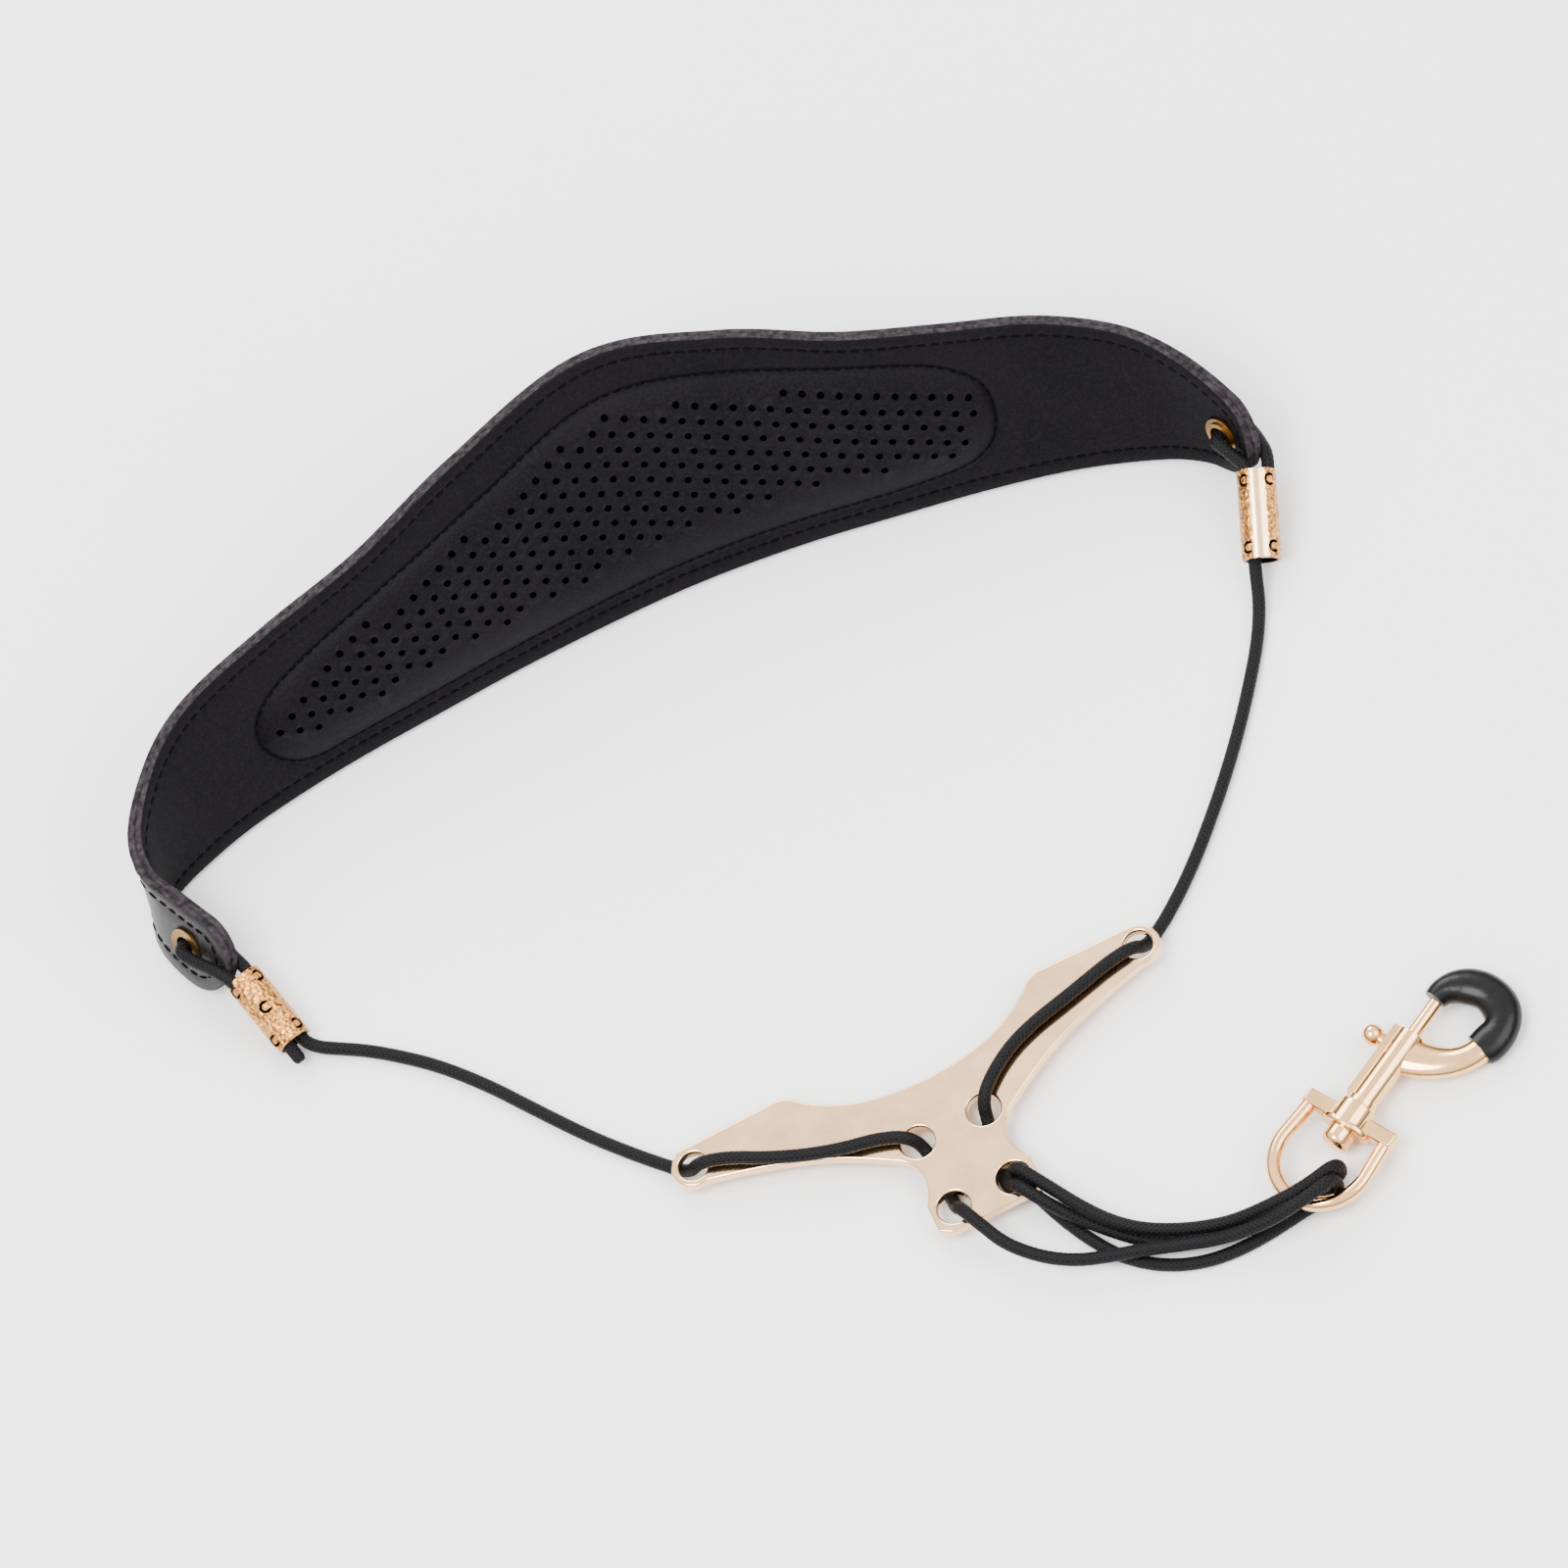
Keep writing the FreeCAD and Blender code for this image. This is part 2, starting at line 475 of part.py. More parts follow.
# ================================================================= ring and hook
def lay_hook(shape, roll):
    """Move a shape from the hook's own axes (a, b, n as X, Y, Z) to its place on the table."""
    shape.rotate(V(0, 0, 0), V(1, 0, 0), roll)
    flipped = FreeCAD.Placement(V(0, 0, 0), FreeCAD.Rotation(V(1, 0, 0), 180))
    heading = FreeCAD.Placement(HOOK_ORIGIN, FreeCAD.Rotation(UP, HOOK_HEADING))
    shape.Placement = heading.multiply(flipped).multiply(shape.Placement)
    return shape


def make_ring():
    """Cast ring: a round bow on a straight bar, with the collar that the hook's shank turns in."""
    slope = math.radians(RING_LEG_SLOPE)
    side = RING_BOW_R * math.cos(slope)
    leg_start = RING_BOW_AT + RING_BOW_R * math.sin(slope)
    foot = side + leg_start * math.tan(slope)
    apex = V(RING_BOW_AT - RING_BOW_R, 0, 0)
    edges = [Part.LineSegment(V(0, foot, 0), V(leg_start, side, 0)).toShape(),
             Part.Arc(V(leg_start, side, 0), apex, V(leg_start, -side, 0)).toShape(),
             Part.LineSegment(V(leg_start, -side, 0), V(0, -foot, 0)).toShape()]
    direction = V(leg_start, side - foot, 0)
    profile = Part.Wire([Part.Circle(V(0, foot, 0), direction, RING_WIRE_R).toShape()])
    bow = Part.Wire(edges).makePipeShell([profile], True, False)
    half = RING_BAR_SIDE / 2
    bar = Part.makeBox(RING_BAR_SIDE, 2 * RING_BAR_HALF, RING_BAR_SIDE, V(-half, -RING_BAR_HALF, -half))
    bar = bar.makeFillet(RING_BAR_FILLET, bar.Edges)
    collar = cylinder(V(COLLAR_FROM, 0, 0), V(COLLAR_TO, 0, 0), COLLAR_R)
    collar = collar.makeFillet(COLLAR_FILLET, [e for e in collar.Edges if e.Curve.TypeId == "Part::GeomCircle"])
    rear = V(COLLAR_FROM, 0, 0)
    oval = Part.Ellipse(rear + V(0, BOSS_HALF_WIDTH, 0), rear + V(0, 0, BOSS_HALF_HEIGHT), rear)
    boss = Part.Face(Part.Wire([oval.toShape()])).extrude(V(BOSS_LENGTH, 0, 0))
    boss = boss.makeFillet(BOSS_FILLET, [e for e in boss.Edges if e.isClosed()])
    bore = cylinder(V(COLLAR_FROM - 1, 0, 0), V(COLLAR_TO + 1, 0, 0), SHANK_R + SHANK_FIT)
    export("d_ring", lay_hook(bow.fuse(bar).fuse(collar).fuse(boss).cut(bore).removeSplitter(), 0))


def sections(stations):
    """Loft through ellipses that stand square to the middle line; each is wider than it is high."""
    wires = []
    for a, b, heading, width, height in stations:
        turn = math.radians(heading)
        major = V(-math.sin(turn), math.cos(turn), 0) * (width / 2)
        ellipse = Part.Ellipse(V(a, b, 0) + major, V(a, b, 0) + UP * (height / 2), V(a, b, 0))
        wires.append(Part.Wire([ellipse.toShape()]))
    return Part.makeLoft(wires, True, False)


def make_hook():
    rivet_start = COLLAR_FROM - END_PLAY
    shank = cylinder(V(rivet_start - 0.5, 0, 0), V(COLLAR_TO + END_PLAY + 0.5, 0, 0), SHANK_R)
    rivet = cylinder(V(rivet_start - RIVET_LENGTH, 0, 0), V(rivet_start, 0, 0), RIVET_R)
    rear = [e for e in rivet.Edges if e.BoundBox.XMax < rivet_start - RIVET_LENGTH + 0.01]
    rivet = rivet.makeFillet(RIVET_DOME_FILLET, rear)
    front = COLLAR_TO + END_PLAY
    barrel = cylinder(V(front, 0, 0), V(BARREL_END, 0, 0), BARREL_R)
    flange = cylinder(V(front, 0, 0), V(front + SHANK_FLANGE_LENGTH, 0, 0), SHANK_FLANGE_R)
    body = barrel.fuse(flange).fuse(shank).fuse(rivet).fuse(sections(ARM))
    rail_width, rail_height = SLOT_RAIL
    slot_half = KNOB_NECK_R + SLOT_FIT
    slot_from = KNOB_AT - BOLT_TRAVEL - slot_half
    slot_to = KNOB_AT + slot_half
    rails = Part.makeBox(BARREL_END - front - SHANK_FLANGE_LENGTH, BARREL_R + rail_height,
                         2 * (slot_half + rail_width),
                         V(front + SHANK_FLANGE_LENGTH, -BARREL_R - rail_height, -slot_half - rail_width))
    slot = Part.makeBox(slot_to - slot_from, BARREL_R + rail_height + 1, 2 * slot_half,
                        V(slot_from, -BARREL_R - rail_height - 1, -slot_half))
    bore = cylinder(V(BORE_FROM, 0, 0), V(BARREL_END + 12, 0, 0), BOLT_R + BOLT_FIT)
    body = body.fuse(rails).cut(bore).cut(slot).fuse(sections(CORE))
    export("hook_body", lay_hook(body.removeSplitter(), HOOK_ROLL))
    cover = sections(COVER).cut(sections(CORE)).cut(sections(ARM))
    export("hook_cover", lay_hook(cover, HOOK_ROLL))


def make_gate():
    """Sliding bolt that closes the hook, its thumb knob and the spring behind it."""
    bolt = cylinder(V(BOLT_TAIL, 0, 0), V(BOLT_TIP, 0, 0), BOLT_R)
    bolt = bolt.makeFillet(BOLT_TIP_FILLET, [e for e in bolt.Edges if e.Curve.TypeId == "Part::GeomCircle"])
    socket_floor = BOLT_R - KNOB_SOCKET
    neck = cylinder(V(KNOB_AT, -socket_floor, 0), V(KNOB_AT, -KNOB_REACH, 0), KNOB_NECK_R)
    export("gate_bolt", lay_hook(bolt.cut(neck), HOOK_ROLL))
    ball = Part.makeSphere(KNOB_BALL_R, V(KNOB_AT, -KNOB_REACH, 0))
    foot = cylinder(V(KNOB_AT, -KNOB_FOOT_FROM, 0), V(KNOB_AT, -KNOB_FOOT_TO, 0), KNOB_FOOT_R)
    export("thumb_knob", lay_hook(neck.fuse(ball).fuse(foot).removeSplitter(), HOOK_ROLL))
    start = BORE_FROM + SPRING_WIRE_R + SPRING_END_GAP
    length = BOLT_TAIL - BORE_FROM - 2 * (SPRING_WIRE_R + SPRING_END_GAP)
    helix = Part.makeHelix(length / SPRING_TURNS, length, SPRING_COIL_R)
    profile = Part.Wire([Part.Circle(V(SPRING_COIL_R, 0, 0), V(0, 1, 0), SPRING_WIRE_R).toShape()])
    spring = Part.Wire(helix.Edges).makePipeShell([profile], True, True)
    spring.Placement = FreeCAD.Placement(V(start, 0, 0), FreeCAD.Rotation(V(0, 1, 0), 90))
    export("gate_spring", lay_hook(spring, HOOK_ROLL))


# ================================================================= cord
def make_cords():
    for name, route in CORDS.items():
        export(name, tube([V(*p) for p in route], CORD_R, name))


make_band()
make_eyelets()
make_bead("left", LEFT_BEAD)
make_bead("right", RIGHT_BEAD)
make_plate()
make_ring()
make_hook()
make_gate()
make_cords()
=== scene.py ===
"""Looks of the saxophone neck strap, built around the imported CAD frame.

Sizes are millimetres and are scaled to metres by MM when a mesh is made. On the neck band a place is
(s, w, lift): s along its middle line from the left tab, w up its width from the lower edge, and lift
from the seam between the two leathers, positive away from the neck.
"""

import math

import bpy
import numpy as np
from mathutils import Matrix, Vector
from mathutils.geometry import delaunay_2d_cdt


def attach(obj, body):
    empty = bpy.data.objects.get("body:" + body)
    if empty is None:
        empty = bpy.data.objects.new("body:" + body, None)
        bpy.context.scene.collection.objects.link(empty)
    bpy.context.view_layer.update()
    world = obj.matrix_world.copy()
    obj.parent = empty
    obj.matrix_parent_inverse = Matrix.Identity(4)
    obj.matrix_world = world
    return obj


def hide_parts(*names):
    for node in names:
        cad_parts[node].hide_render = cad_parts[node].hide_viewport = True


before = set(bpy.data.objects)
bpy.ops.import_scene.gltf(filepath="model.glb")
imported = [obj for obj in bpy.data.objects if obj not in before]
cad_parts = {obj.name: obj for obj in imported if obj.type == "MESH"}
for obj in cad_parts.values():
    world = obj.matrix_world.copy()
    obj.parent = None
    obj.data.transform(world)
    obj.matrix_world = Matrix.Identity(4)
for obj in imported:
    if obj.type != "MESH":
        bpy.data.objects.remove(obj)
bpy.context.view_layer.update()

MM = 0.001

# ---------------------------------------------------------------- neck band
# Lower edge of the seam plane, left tab to right tab: x, y, z, width, outward lean in degrees.
BAND_ROWS = np.array([
    (-128.0, 47.6, 3.05, 20.0, -26.0), (-133.2, 59.4, 1.45, 20.4, -25.0), (-135.3, 68.9, 1.05, 21.0, -19.0),
    (-133.8, 75.9, 1.05, 22.4, -7.0), (-128.2, 80.9, 1.05, 26.0, 9.0), (-118.5, 84.6, 1.05, 31.5, 20.0),
    (-104.5, 88.2, 1.05, 37.5, 25.0), (-82.0, 91.2, 1.05, 43.0, 24.0), (-56.0, 92.8, 1.05, 49.5, 22.5),
    (-28.0, 93.8, 1.05, 58.5, 25.0), (5.0, 93.1, 1.05, 65.4, 29.5), (32.0, 90.0, 1.05, 59.8, 28.0),
    (56.0, 85.4, 1.05, 51.3, 25.5), (78.0, 80.6, 1.05, 45.0, 26.5), (97.0, 75.2, 1.05, 40.5, 28.5),
    (113.0, 68.7, 1.05, 34.5, 28.5), (122.0, 63.6, 1.05, 28.0, 24.0), (127.6, 57.7, 1.35, 21.8, 20.5),
    (130.3, 49.2, 2.35, 20.0, 18.0)])
TABLE_STEPS = 1600
MAX_WIDTH = 66.0
SEAM_GAP = 0.03
OUTER_THICK, INNER_THICK = 1.8, 1.7
TAB_RADIUS = 10.0
TAB_ANGLES = np.radians(np.linspace(90, 3, 16))
EDGE_BEVEL = 0.22                                 # where a leather's face turns into its cut edge
JOIN_BEVEL = 0.35                                 # where its cut edge turns into the seam plane
EYELET_FROM_TIP = (13.3, 10.0)
EYELET_CUT_R = 3.05
EYELET_SIDES = 28

# Spacing of mesh points on the leather, and the clear bands kept free of loose points.
LEATHER_STEP, PAD_STEP = 3.2, 2.0
EDGE_STEP, COARSE_EDGE_STEP = 2.0, 2.5
SHOULDER_STEP = 1.6
SEAM_RINGS = (-0.7, 0.0, 0.7)                     # outlines either side of the edge seam
GROOVE_RINGS = (-0.5, -1.1, -2.2)                 # outlines outside the pad
SHOULDER_RINGS = (0.35, 0.8, 1.5, 2.4, 3.6, 5.0)  # outlines inside the pad
SEAM_CLEAR, EYELET_CLEAR, HOLE_CLEAR = 1.8, 1.0, 0.7
SHOULDER_CLEAR, FOAM_CLEAR = 6.0, 1.5
OFFSET_TRUE = 0.97                                # least share of its offset that an offset point keeps
CHUNK = 2000                                      # points whose distances are worked out at once
MERGE = 1e-6                                      # points nearer than this are one point

# Outline of the pad on the band, as (s, w) of points that a smooth closed curve passes through.
PAD_OUTLINE = [
    (73.5, 16.7), (75.0, 22.4), (80.5, 27.4), (90.0, 31.3), (111.4, 37.9), (130.0, 42.6), (148.3, 47.6),
    (165.9, 52.7), (180.6, 54.3), (198.0, 51.8), (218.4, 46.3), (239.6, 40.2), (250.6, 36.0), (258.4, 30.0),
    (260.7, 23.6), (259.6, 15.4), (255.2, 10.1), (247.5, 7.4), (227.3, 6.4), (195.8, 6.3), (160.2, 6.0),
    (122.9, 6.0), (94.2, 6.0), (82.9, 6.6), (76.6, 10.2)]
OUTLINE_STEP = 1.2
OUTLINE_PARTS = 40                                # curve points between two points of the outline
GROOVE_DEPTH, GROOVE_SPREAD = 0.6, 0.6
PAD_RISE = 3.25
PAD_SHOULDER = 11.0
COVER_THICK = 1.2
FOAM_INSET = 1.2

# The perforation is a staggered pattern of columns. Its rows sweep up towards both ends of the pad: bow,
# growth and sweep are in terms of the distance from the pattern's middle as a share of its span.
HOLE_R = 0.85
HOLE_COLUMN, HOLE_PITCH = 4.03, 4.16
HOLE_FROM = 72.2
HOLE_MIDDLE, HOLE_SPAN = 170.0, 50.0
HOLE_BOW, HOLE_GROWTH = 0.47, 0.009
HOLE_SWEEP = (-0.91, 0.57, 5.41, -0.94, -3.70)    # powers of the share, highest first
# Least distance from the pad's outline to a hole's middle, at places along the band.
HOLE_MARGIN_HIGH = ((80.0, 4.6), (95.0, 3.8), (110.0, 2.9), (125.0, 3.6), (155.0, 4.0), (180.0, 3.2),
                    (192.0, 5.4), (205.0, 4.2), (240.0, 5.0), (254.0, 1.6))
HOLE_MARGIN_LOW = ((90.0, 8.4), (105.0, 9.3), (225.0, 9.3), (242.0, 6.9), (254.0, 4.3))
HOLE_SIDES = 12
HOLE_FLARE = 0.1
HOLE_TAPER = 0.06
HOLE_OPEN = 0.93                                  # share of a hole's radius that is left without leather
HOLE_SPARE = 6                                    # rows tried beyond either side of the pad
UPPER_HALF_FROM = -2.0                            # of the band, from its middle line

# ---------------------------------------------------------------- stitching
THREAD_R = 0.3
EDGE_SEAM_INSET = 3.5
EDGE_SEAM_PITCH, PAD_SEAM_PITCH = 3.0, 2.6
STITCH_SHARE = 0.76
STITCH_SINK, PAD_STITCH_SINK = 0.12, 0.1
STITCH_SIDES = 7
STITCH_PATH_STEP = 0.4
# Place along a stitch, girth and rise of each of its rings, as shares of its half length and radius.
STITCH_RINGS = [(-1.0, 0.25, -0.55), (-0.86, 0.8, -0.2), (-0.4, 1.0, 0.1), (0.4, 1.0, 0.1), (0.86, 0.8, -0.2),
                (1.0, 0.25, -0.55)]
SEAM_DENT, SEAM_DENT_SPREAD = 0.22, 0.55

# ---------------------------------------------------------------- cord
CORD_R = 1.5
CORD_RINGS_STEP = 0.3
CORD_SIDES = 36
BRAID_STRANDS = 12
BRAID_PITCH = 2.4
BRAID_RELIEF = 0.06
MELT_LENGTH, MELT_TAPER = 1.2, 0.35               # the sealed end of the cord
CORD_ROUTES = {
    "cord_left_loop": [
        (-119.2, 24.9, 3.9), (-121.3, 34.1, 7.2), (-123.3, 41.9, 9.6), (-125.7, 47.3, 13.4),
        (-128.6, 51.8, 13.5), (-131.3, 55.9, 12.7), (-133.5, 60.4, 12.7), (-125.6, 63.3, 8.6),
        (-123.9, 58.7, 9.3), (-122.7, 54.1, 9.7), (-121.2, 49.1, 10.9), (-120.1, 42.8, 8.1),
        (-118.6, 36.4, 5.9)],
    "cord_left_span": [
        (-118.6, 36.4, 5.9), (-117.2, 30.5, 3.9), (-114.9, 27.4, 2.4), (-110.2, 24.7, 1.6),
        (-104.6, 21.0, 1.5), (-98.0, 15.3, 1.5), (-91.6, 9.0, 1.5), (-83.7, -1.1, 1.5),
        (-76.4, -12.5, 1.5), (-69.0, -23.6, 1.5), (-62.9, -31.6, 1.5), (-57.2, -38.4, 1.5),
        (-51.9, -44.3, 1.5), (-49.1, -46.2, 7.6), (-42.6, -48.4, 7.6), (-34.9, -53.0, 7.6),
        (-26.6, -56.9, 7.6), (-18.6, -59.6, 7.6), (-11.0, -61.2, 7.6), (-4.4, -64.2, 7.6),
        (-1.8, -66.9, 1.5), (-2.0, -74.6, 1.5)],
    "cord_ring_loop_near": [
        (-2.0, -74.6, 1.5), (-2.2, -82.7, 1.5), (-1.4, -86.0, 7.6), (1.2, -92.6, 7.6),
        (4.0, -99.0, 6.8), (8.6, -104.2, 5.8), (13.2, -107.9, 5.1), (18.5, -110.9, 4.8),
        (24.7, -113.1, 4.75), (31.2, -115.2, 4.75), (39.4, -118.4, 4.75), (46.0, -121.1, 5.1),
        (52.6, -123.2, 6.3), (58.6, -124.6, 8.0), (64.2, -125.0, 9.6), (69.4, -124.3, 9.8),
        (76.0, -122.7, 9.6), (76.0, -122.7, 1.5), (69.2, -122.4, 1.5), (61.0, -123.6, 1.5),
        (53.1, -124.3, 1.5), (44.7, -123.8, 1.5), (37.2, -121.3, 1.5), (30.8, -117.3, 1.5),
        (25.2, -111.4, 1.5), (20.8, -103.7, 1.5), (17.0, -94.6, 1.5), (15.2, -88.6, 1.5)],
    "cord_ring_loop_far": [
        (15.2, -88.6, 1.5), (13.4, -82.6, 1.5), (13.4, -82.6, 7.9), (16.4, -87.9, 7.9),
        (19.2, -92.9, 7.6), (22.6, -98.7, 6.7), (26.6, -104.4, 5.8), (31.4, -109.2, 5.1),
        (36.8, -112.8, 4.8), (43.2, -116.0, 4.7), (50.4, -118.6, 5.0), (56.0, -120.0, 6.4),
        (61.2, -121.0, 8.0), (66.5, -121.2, 8.4), (71.6, -120.5, 8.3), (78.2, -119.0, 8.2),
        (78.2, -119.0, 1.5), (71.4, -118.4, 1.5), (63.4, -119.3, 1.5), (55.2, -120.0, 1.5),
        (47.4, -119.2, 1.5), (39.6, -116.2, 1.5), (31.9, -111.3, 1.6), (27.0, -106.4, 2.2),
        (22.5, -101.5, 3.4), (18.4, -96.7, 5.1), (14.9, -92.2, 7.4), (12.0, -86.9, 7.7),
        (9.9, -84.2, 1.5), (11.3, -75.9, 1.5)],
    "cord_right_span": [
        (11.3, -75.9, 1.5), (12.7, -67.6, 1.5), (13.9, -64.2, 7.6), (18.6, -59.3, 7.6),
        (25.2, -54.9, 7.6), (32.6, -52.2, 7.6), (40.4, -50.4, 7.6), (47.2, -48.6, 7.6),
        (53.0, -47.1, 7.6), (59.0, -46.3, 7.6), (62.0, -44.6, 1.5), (67.3, -41.4, 1.5),
        (73.8, -36.3, 1.5), (80.9, -29.8, 1.5), (88.3, -22.0, 1.5), (95.4, -14.0, 1.5),
        (103.0, -4.6, 1.5), (110.4, 5.7, 1.5), (115.6, 13.6, 1.5), (119.6, 21.4, 1.9),
        (122.0, 27.8, 4.7), (125.5, 36.1, 7.7)],
    "cord_right_loop": [
        (126.7, 31.0, 4.4), (130.3, 39.0, 7.5), (134.4, 45.4, 10.2), (136.3, 50.0, 11.3),
        (136.2, 54.0, 10.6), (135.8, 57.6, 9.8), (134.6, 62.2, 10.1), (126.7, 58.2, 13.2),
        (128.1, 55.6, 13.1), (129.2, 52.5, 12.5), (130.9, 48.4, 12.7), (128.4, 42.5, 10.0),
        (125.5, 36.1, 7.7)],
}

# ---------------------------------------------------------------- beads
BEAD_AXES = {"left_bead": ((-118.7, 29.8, 4.6), (-122.9, 47.5, 10.6)),
             "right_bead": ((124.4, 29.6, 4.6), (132.3, 47.5, 11.2))}
BEAD_SKIN = (3.75, 4.1)                # from the axis: dark inside the first radius, bright past the second
BEAD_PANEL_FACES = {"left_bead": (-0.975, -0.193, -0.112), "right_bead": (0.061, -0.369, 0.928)}
BEAD_PANEL_HALF_ANGLE = 24.0
BEAD_PANEL_EDGE = 0.015

# ---------------------------------------------------------------- view
VIEW_DOWN = 60.0
VIEW_ROLL = 26.5
VIEW_WIDTH = 353.2                    # width of the picture at the object
VIEW_MIDDLE = (5.75, 35.7, 0.0)
LENS, SENSOR = 600.0, 36.0
WORLD_STRENGTH = 2.3
SKY_GREYS = ((0.0, 0.03), (0.3, 0.4), (0.6, 1.0))  # height in the sky, and how bright it is there


# ================================================================= band surface
def catmull_rom(points, t):
    """Values at the row numbers t of a smooth curve through all rows of a table."""
    last = len(points) - 1
    i = np.clip(np.floor(t).astype(int), 0, last - 1)
    u = (t - i)[:, None]
    a, b, c, d = (points[np.clip(i + k, 0, last)] for k in (-1, 0, 1, 2))
    square = (2 * a - 5 * b + 4 * c - d) * u ** 2
    cube = (3 * b - a - 3 * c + d) * u ** 3
    return 0.5 * (2 * b + (c - a) * u + square + cube)


def unit(vectors):
    """Vectors of length one."""
    return vectors / np.linalg.norm(vectors, axis=-1, keepdims=True)


def make_band_table():
    """Dense table of the band: middle arc length, lower edge, rise, outward normal and width."""
    t = np.linspace(0, len(BAND_ROWS) - 1, TABLE_STEPS)
    rows = catmull_rom(BAND_ROWS, t)
    along = unit(np.gradient(rows[:, :2], axis=0))
    outward = np.column_stack([-along[:, 1], along[:, 0], np.zeros(len(t))])
    lean = np.radians(rows[:, 4])[:, None]
    rise = outward * np.sin(lean) + np.array([0, 0, 1.0]) * np.cos(lean)
    lower = rows[:, :3]
    width = rows[:, 3]
    middle = lower + rise * width[:, None] / 2
    steps = np.linalg.norm(np.diff(middle, axis=0), axis=1)
    s = np.concatenate([[0], np.cumsum(steps)])
    normal = unit(np.cross(rise, unit(np.gradient(middle, axis=0))))
    return {"s": s, "lower": lower, "rise": rise, "normal": normal, "width": width}


BAND = make_band_table()
BAND_LENGTH = BAND["s"][-1]


def band_value(name, s):
    """One column of the band's table at lengths s."""
    table = BAND[name]
    if table.ndim == 1:
        return np.interp(s, BAND["s"], table)
    return np.column_stack([np.interp(s, BAND["s"], table[:, k]) for k in range(3)])


def band_points(sw, lift):
    """Points in metres of places (s, w) on the band at their lift."""
    s = sw[:, 0]
    lift = np.broadcast_to(lift, len(s))[:, None]
    points = band_value("lower", s) + band_value("rise", s) * sw[:, 1:2] + band_value("normal", s) * lift
    return points * MM


# ================================================================= outlines on the band
def closed_curve(points, step):
    """Smooth closed curve through points, as points about one step apart."""
    ring = np.array(points)
    count = len(ring)
    padded = np.vstack([ring[-1:], ring, ring[:2]])
    t = np.linspace(1, count + 1, count * OUTLINE_PARTS, endpoint=False)
    dense = catmull_rom(padded, t)
    return resample(np.vstack([dense, dense[:1]]), step)[:-1]


def resample(line, step):
    """Points about one step apart along an open polyline, both ends kept."""
    lengths = np.concatenate([[0], np.cumsum(np.linalg.norm(np.diff(line, axis=0), axis=1))])
    count = max(2, int(round(lengths[-1] / step)) + 1)
    at = np.linspace(0, lengths[-1], count)
    return np.column_stack([np.interp(at, lengths, line[:, k]) for k in range(line.shape[1])])


def band_outline(inset, step):
    """Closed outline of the band, inset from its cut edge, with round tabs."""
    radius = TAB_RADIUS - inset
    left_s = inset + radius * (1 - np.sin(TAB_ANGLES))
    share = np.cos(TAB_ANGLES)
    s_body = np.arange(TAB_RADIUS + step, BAND_LENGTH - TAB_RADIUS - step / 2, step)
    s_half = np.concatenate([left_s, s_body, (BAND_LENGTH - left_s)[::-1]])
    half_share = np.concatenate([share, np.ones(len(s_body)), share[::-1]])
    width = band_value("width", s_half)
    half = (width / 2 - inset) * half_share
    low = np.column_stack([s_half, width / 2 - half])
    high = np.column_stack([s_half, width / 2 + half])
    return np.vstack([low, high[-2:0:-1]])


def inside(points, ring):
    """Whether each point lies inside a closed outline."""
    x, y = points[:, 0][:, None], points[:, 1][:, None]
    x0, y0 = ring[:, 0], ring[:, 1]
    x1, y1 = np.roll(x0, -1), np.roll(y0, -1)
    crosses = (y0 > y) != (y1 > y)
    with np.errstate(divide="ignore", invalid="ignore"):
        at = x0 + (y - y0) * (x1 - x0) / (y1 - y0)
    return (np.sum(crosses & (x < at), axis=1) % 2) == 1


def distance(points, ring):
    """Distance of each point from a closed outline, negative inside it."""
    start, end = ring, np.roll(ring, -1, axis=0)
    edge = end - start
    out = []
    for chunk in np.array_split(points, max(1, len(points) // CHUNK)):
        rel = chunk[:, None] - start
        share = np.clip(np.sum(rel * edge, axis=2) / np.sum(edge * edge, axis=1), 0, 1)
        out.append(np.min(np.linalg.norm(rel - share[..., None] * edge, axis=2), axis=1))
    gap = np.concatenate(out)
    return np.where(inside(points, ring), -gap, gap)


PAD_RING = closed_curve(PAD_OUTLINE, OUTLINE_STEP)


def offset_ring(ring, amount, step):
    """Outline moved inwards by an amount along its own normals."""
    tangent = unit(np.roll(ring, -1, axis=0) - np.roll(ring, 1, axis=0))
    normal = np.column_stack([tangent[:, 1], -tangent[:, 0]])
    moved = ring + normal * amount
    keep = np.abs(distance(moved, ring)) > abs(amount) * OFFSET_TRUE
    moved = moved[keep]
    return resample(np.vstack([moved, moved[:1]]), step)[:-1]


def pad_lift(sw):
    """How far the neck face stands from the flat leather: the groove round the pad and its crown."""
    d = -distance(sw, PAD_RING)
    groove = -GROOVE_DEPTH * np.exp(-(d / GROOVE_SPREAD) ** 2)
    rise = np.clip(d / PAD_SHOULDER, 0, 1)
    crown = PAD_RISE * (1 - (1 - rise) ** 2)
    return groove + crown


def seam_dent(sw):
    """Shallow channel that the edge seam pulls into the leather."""
    d = -distance(sw, band_outline(0.0, COARSE_EDGE_STEP)) - EDGE_SEAM_INSET
    return -SEAM_DENT * np.exp(-(d / SEAM_DENT_SPREAD) ** 2)


def hole_margin(sw):
    """Least distance from the pad's outline to a hole, in the upper and the lower half of the band."""
    s = sw[:, 0]
    upper = sw[:, 1] > band_value("width", s) / 2 + UPPER_HALF_FROM
    return np.where(upper, np.interp(s, *zip(*HOLE_MARGIN_HIGH)), np.interp(s, *zip(*HOLE_MARGIN_LOW)))


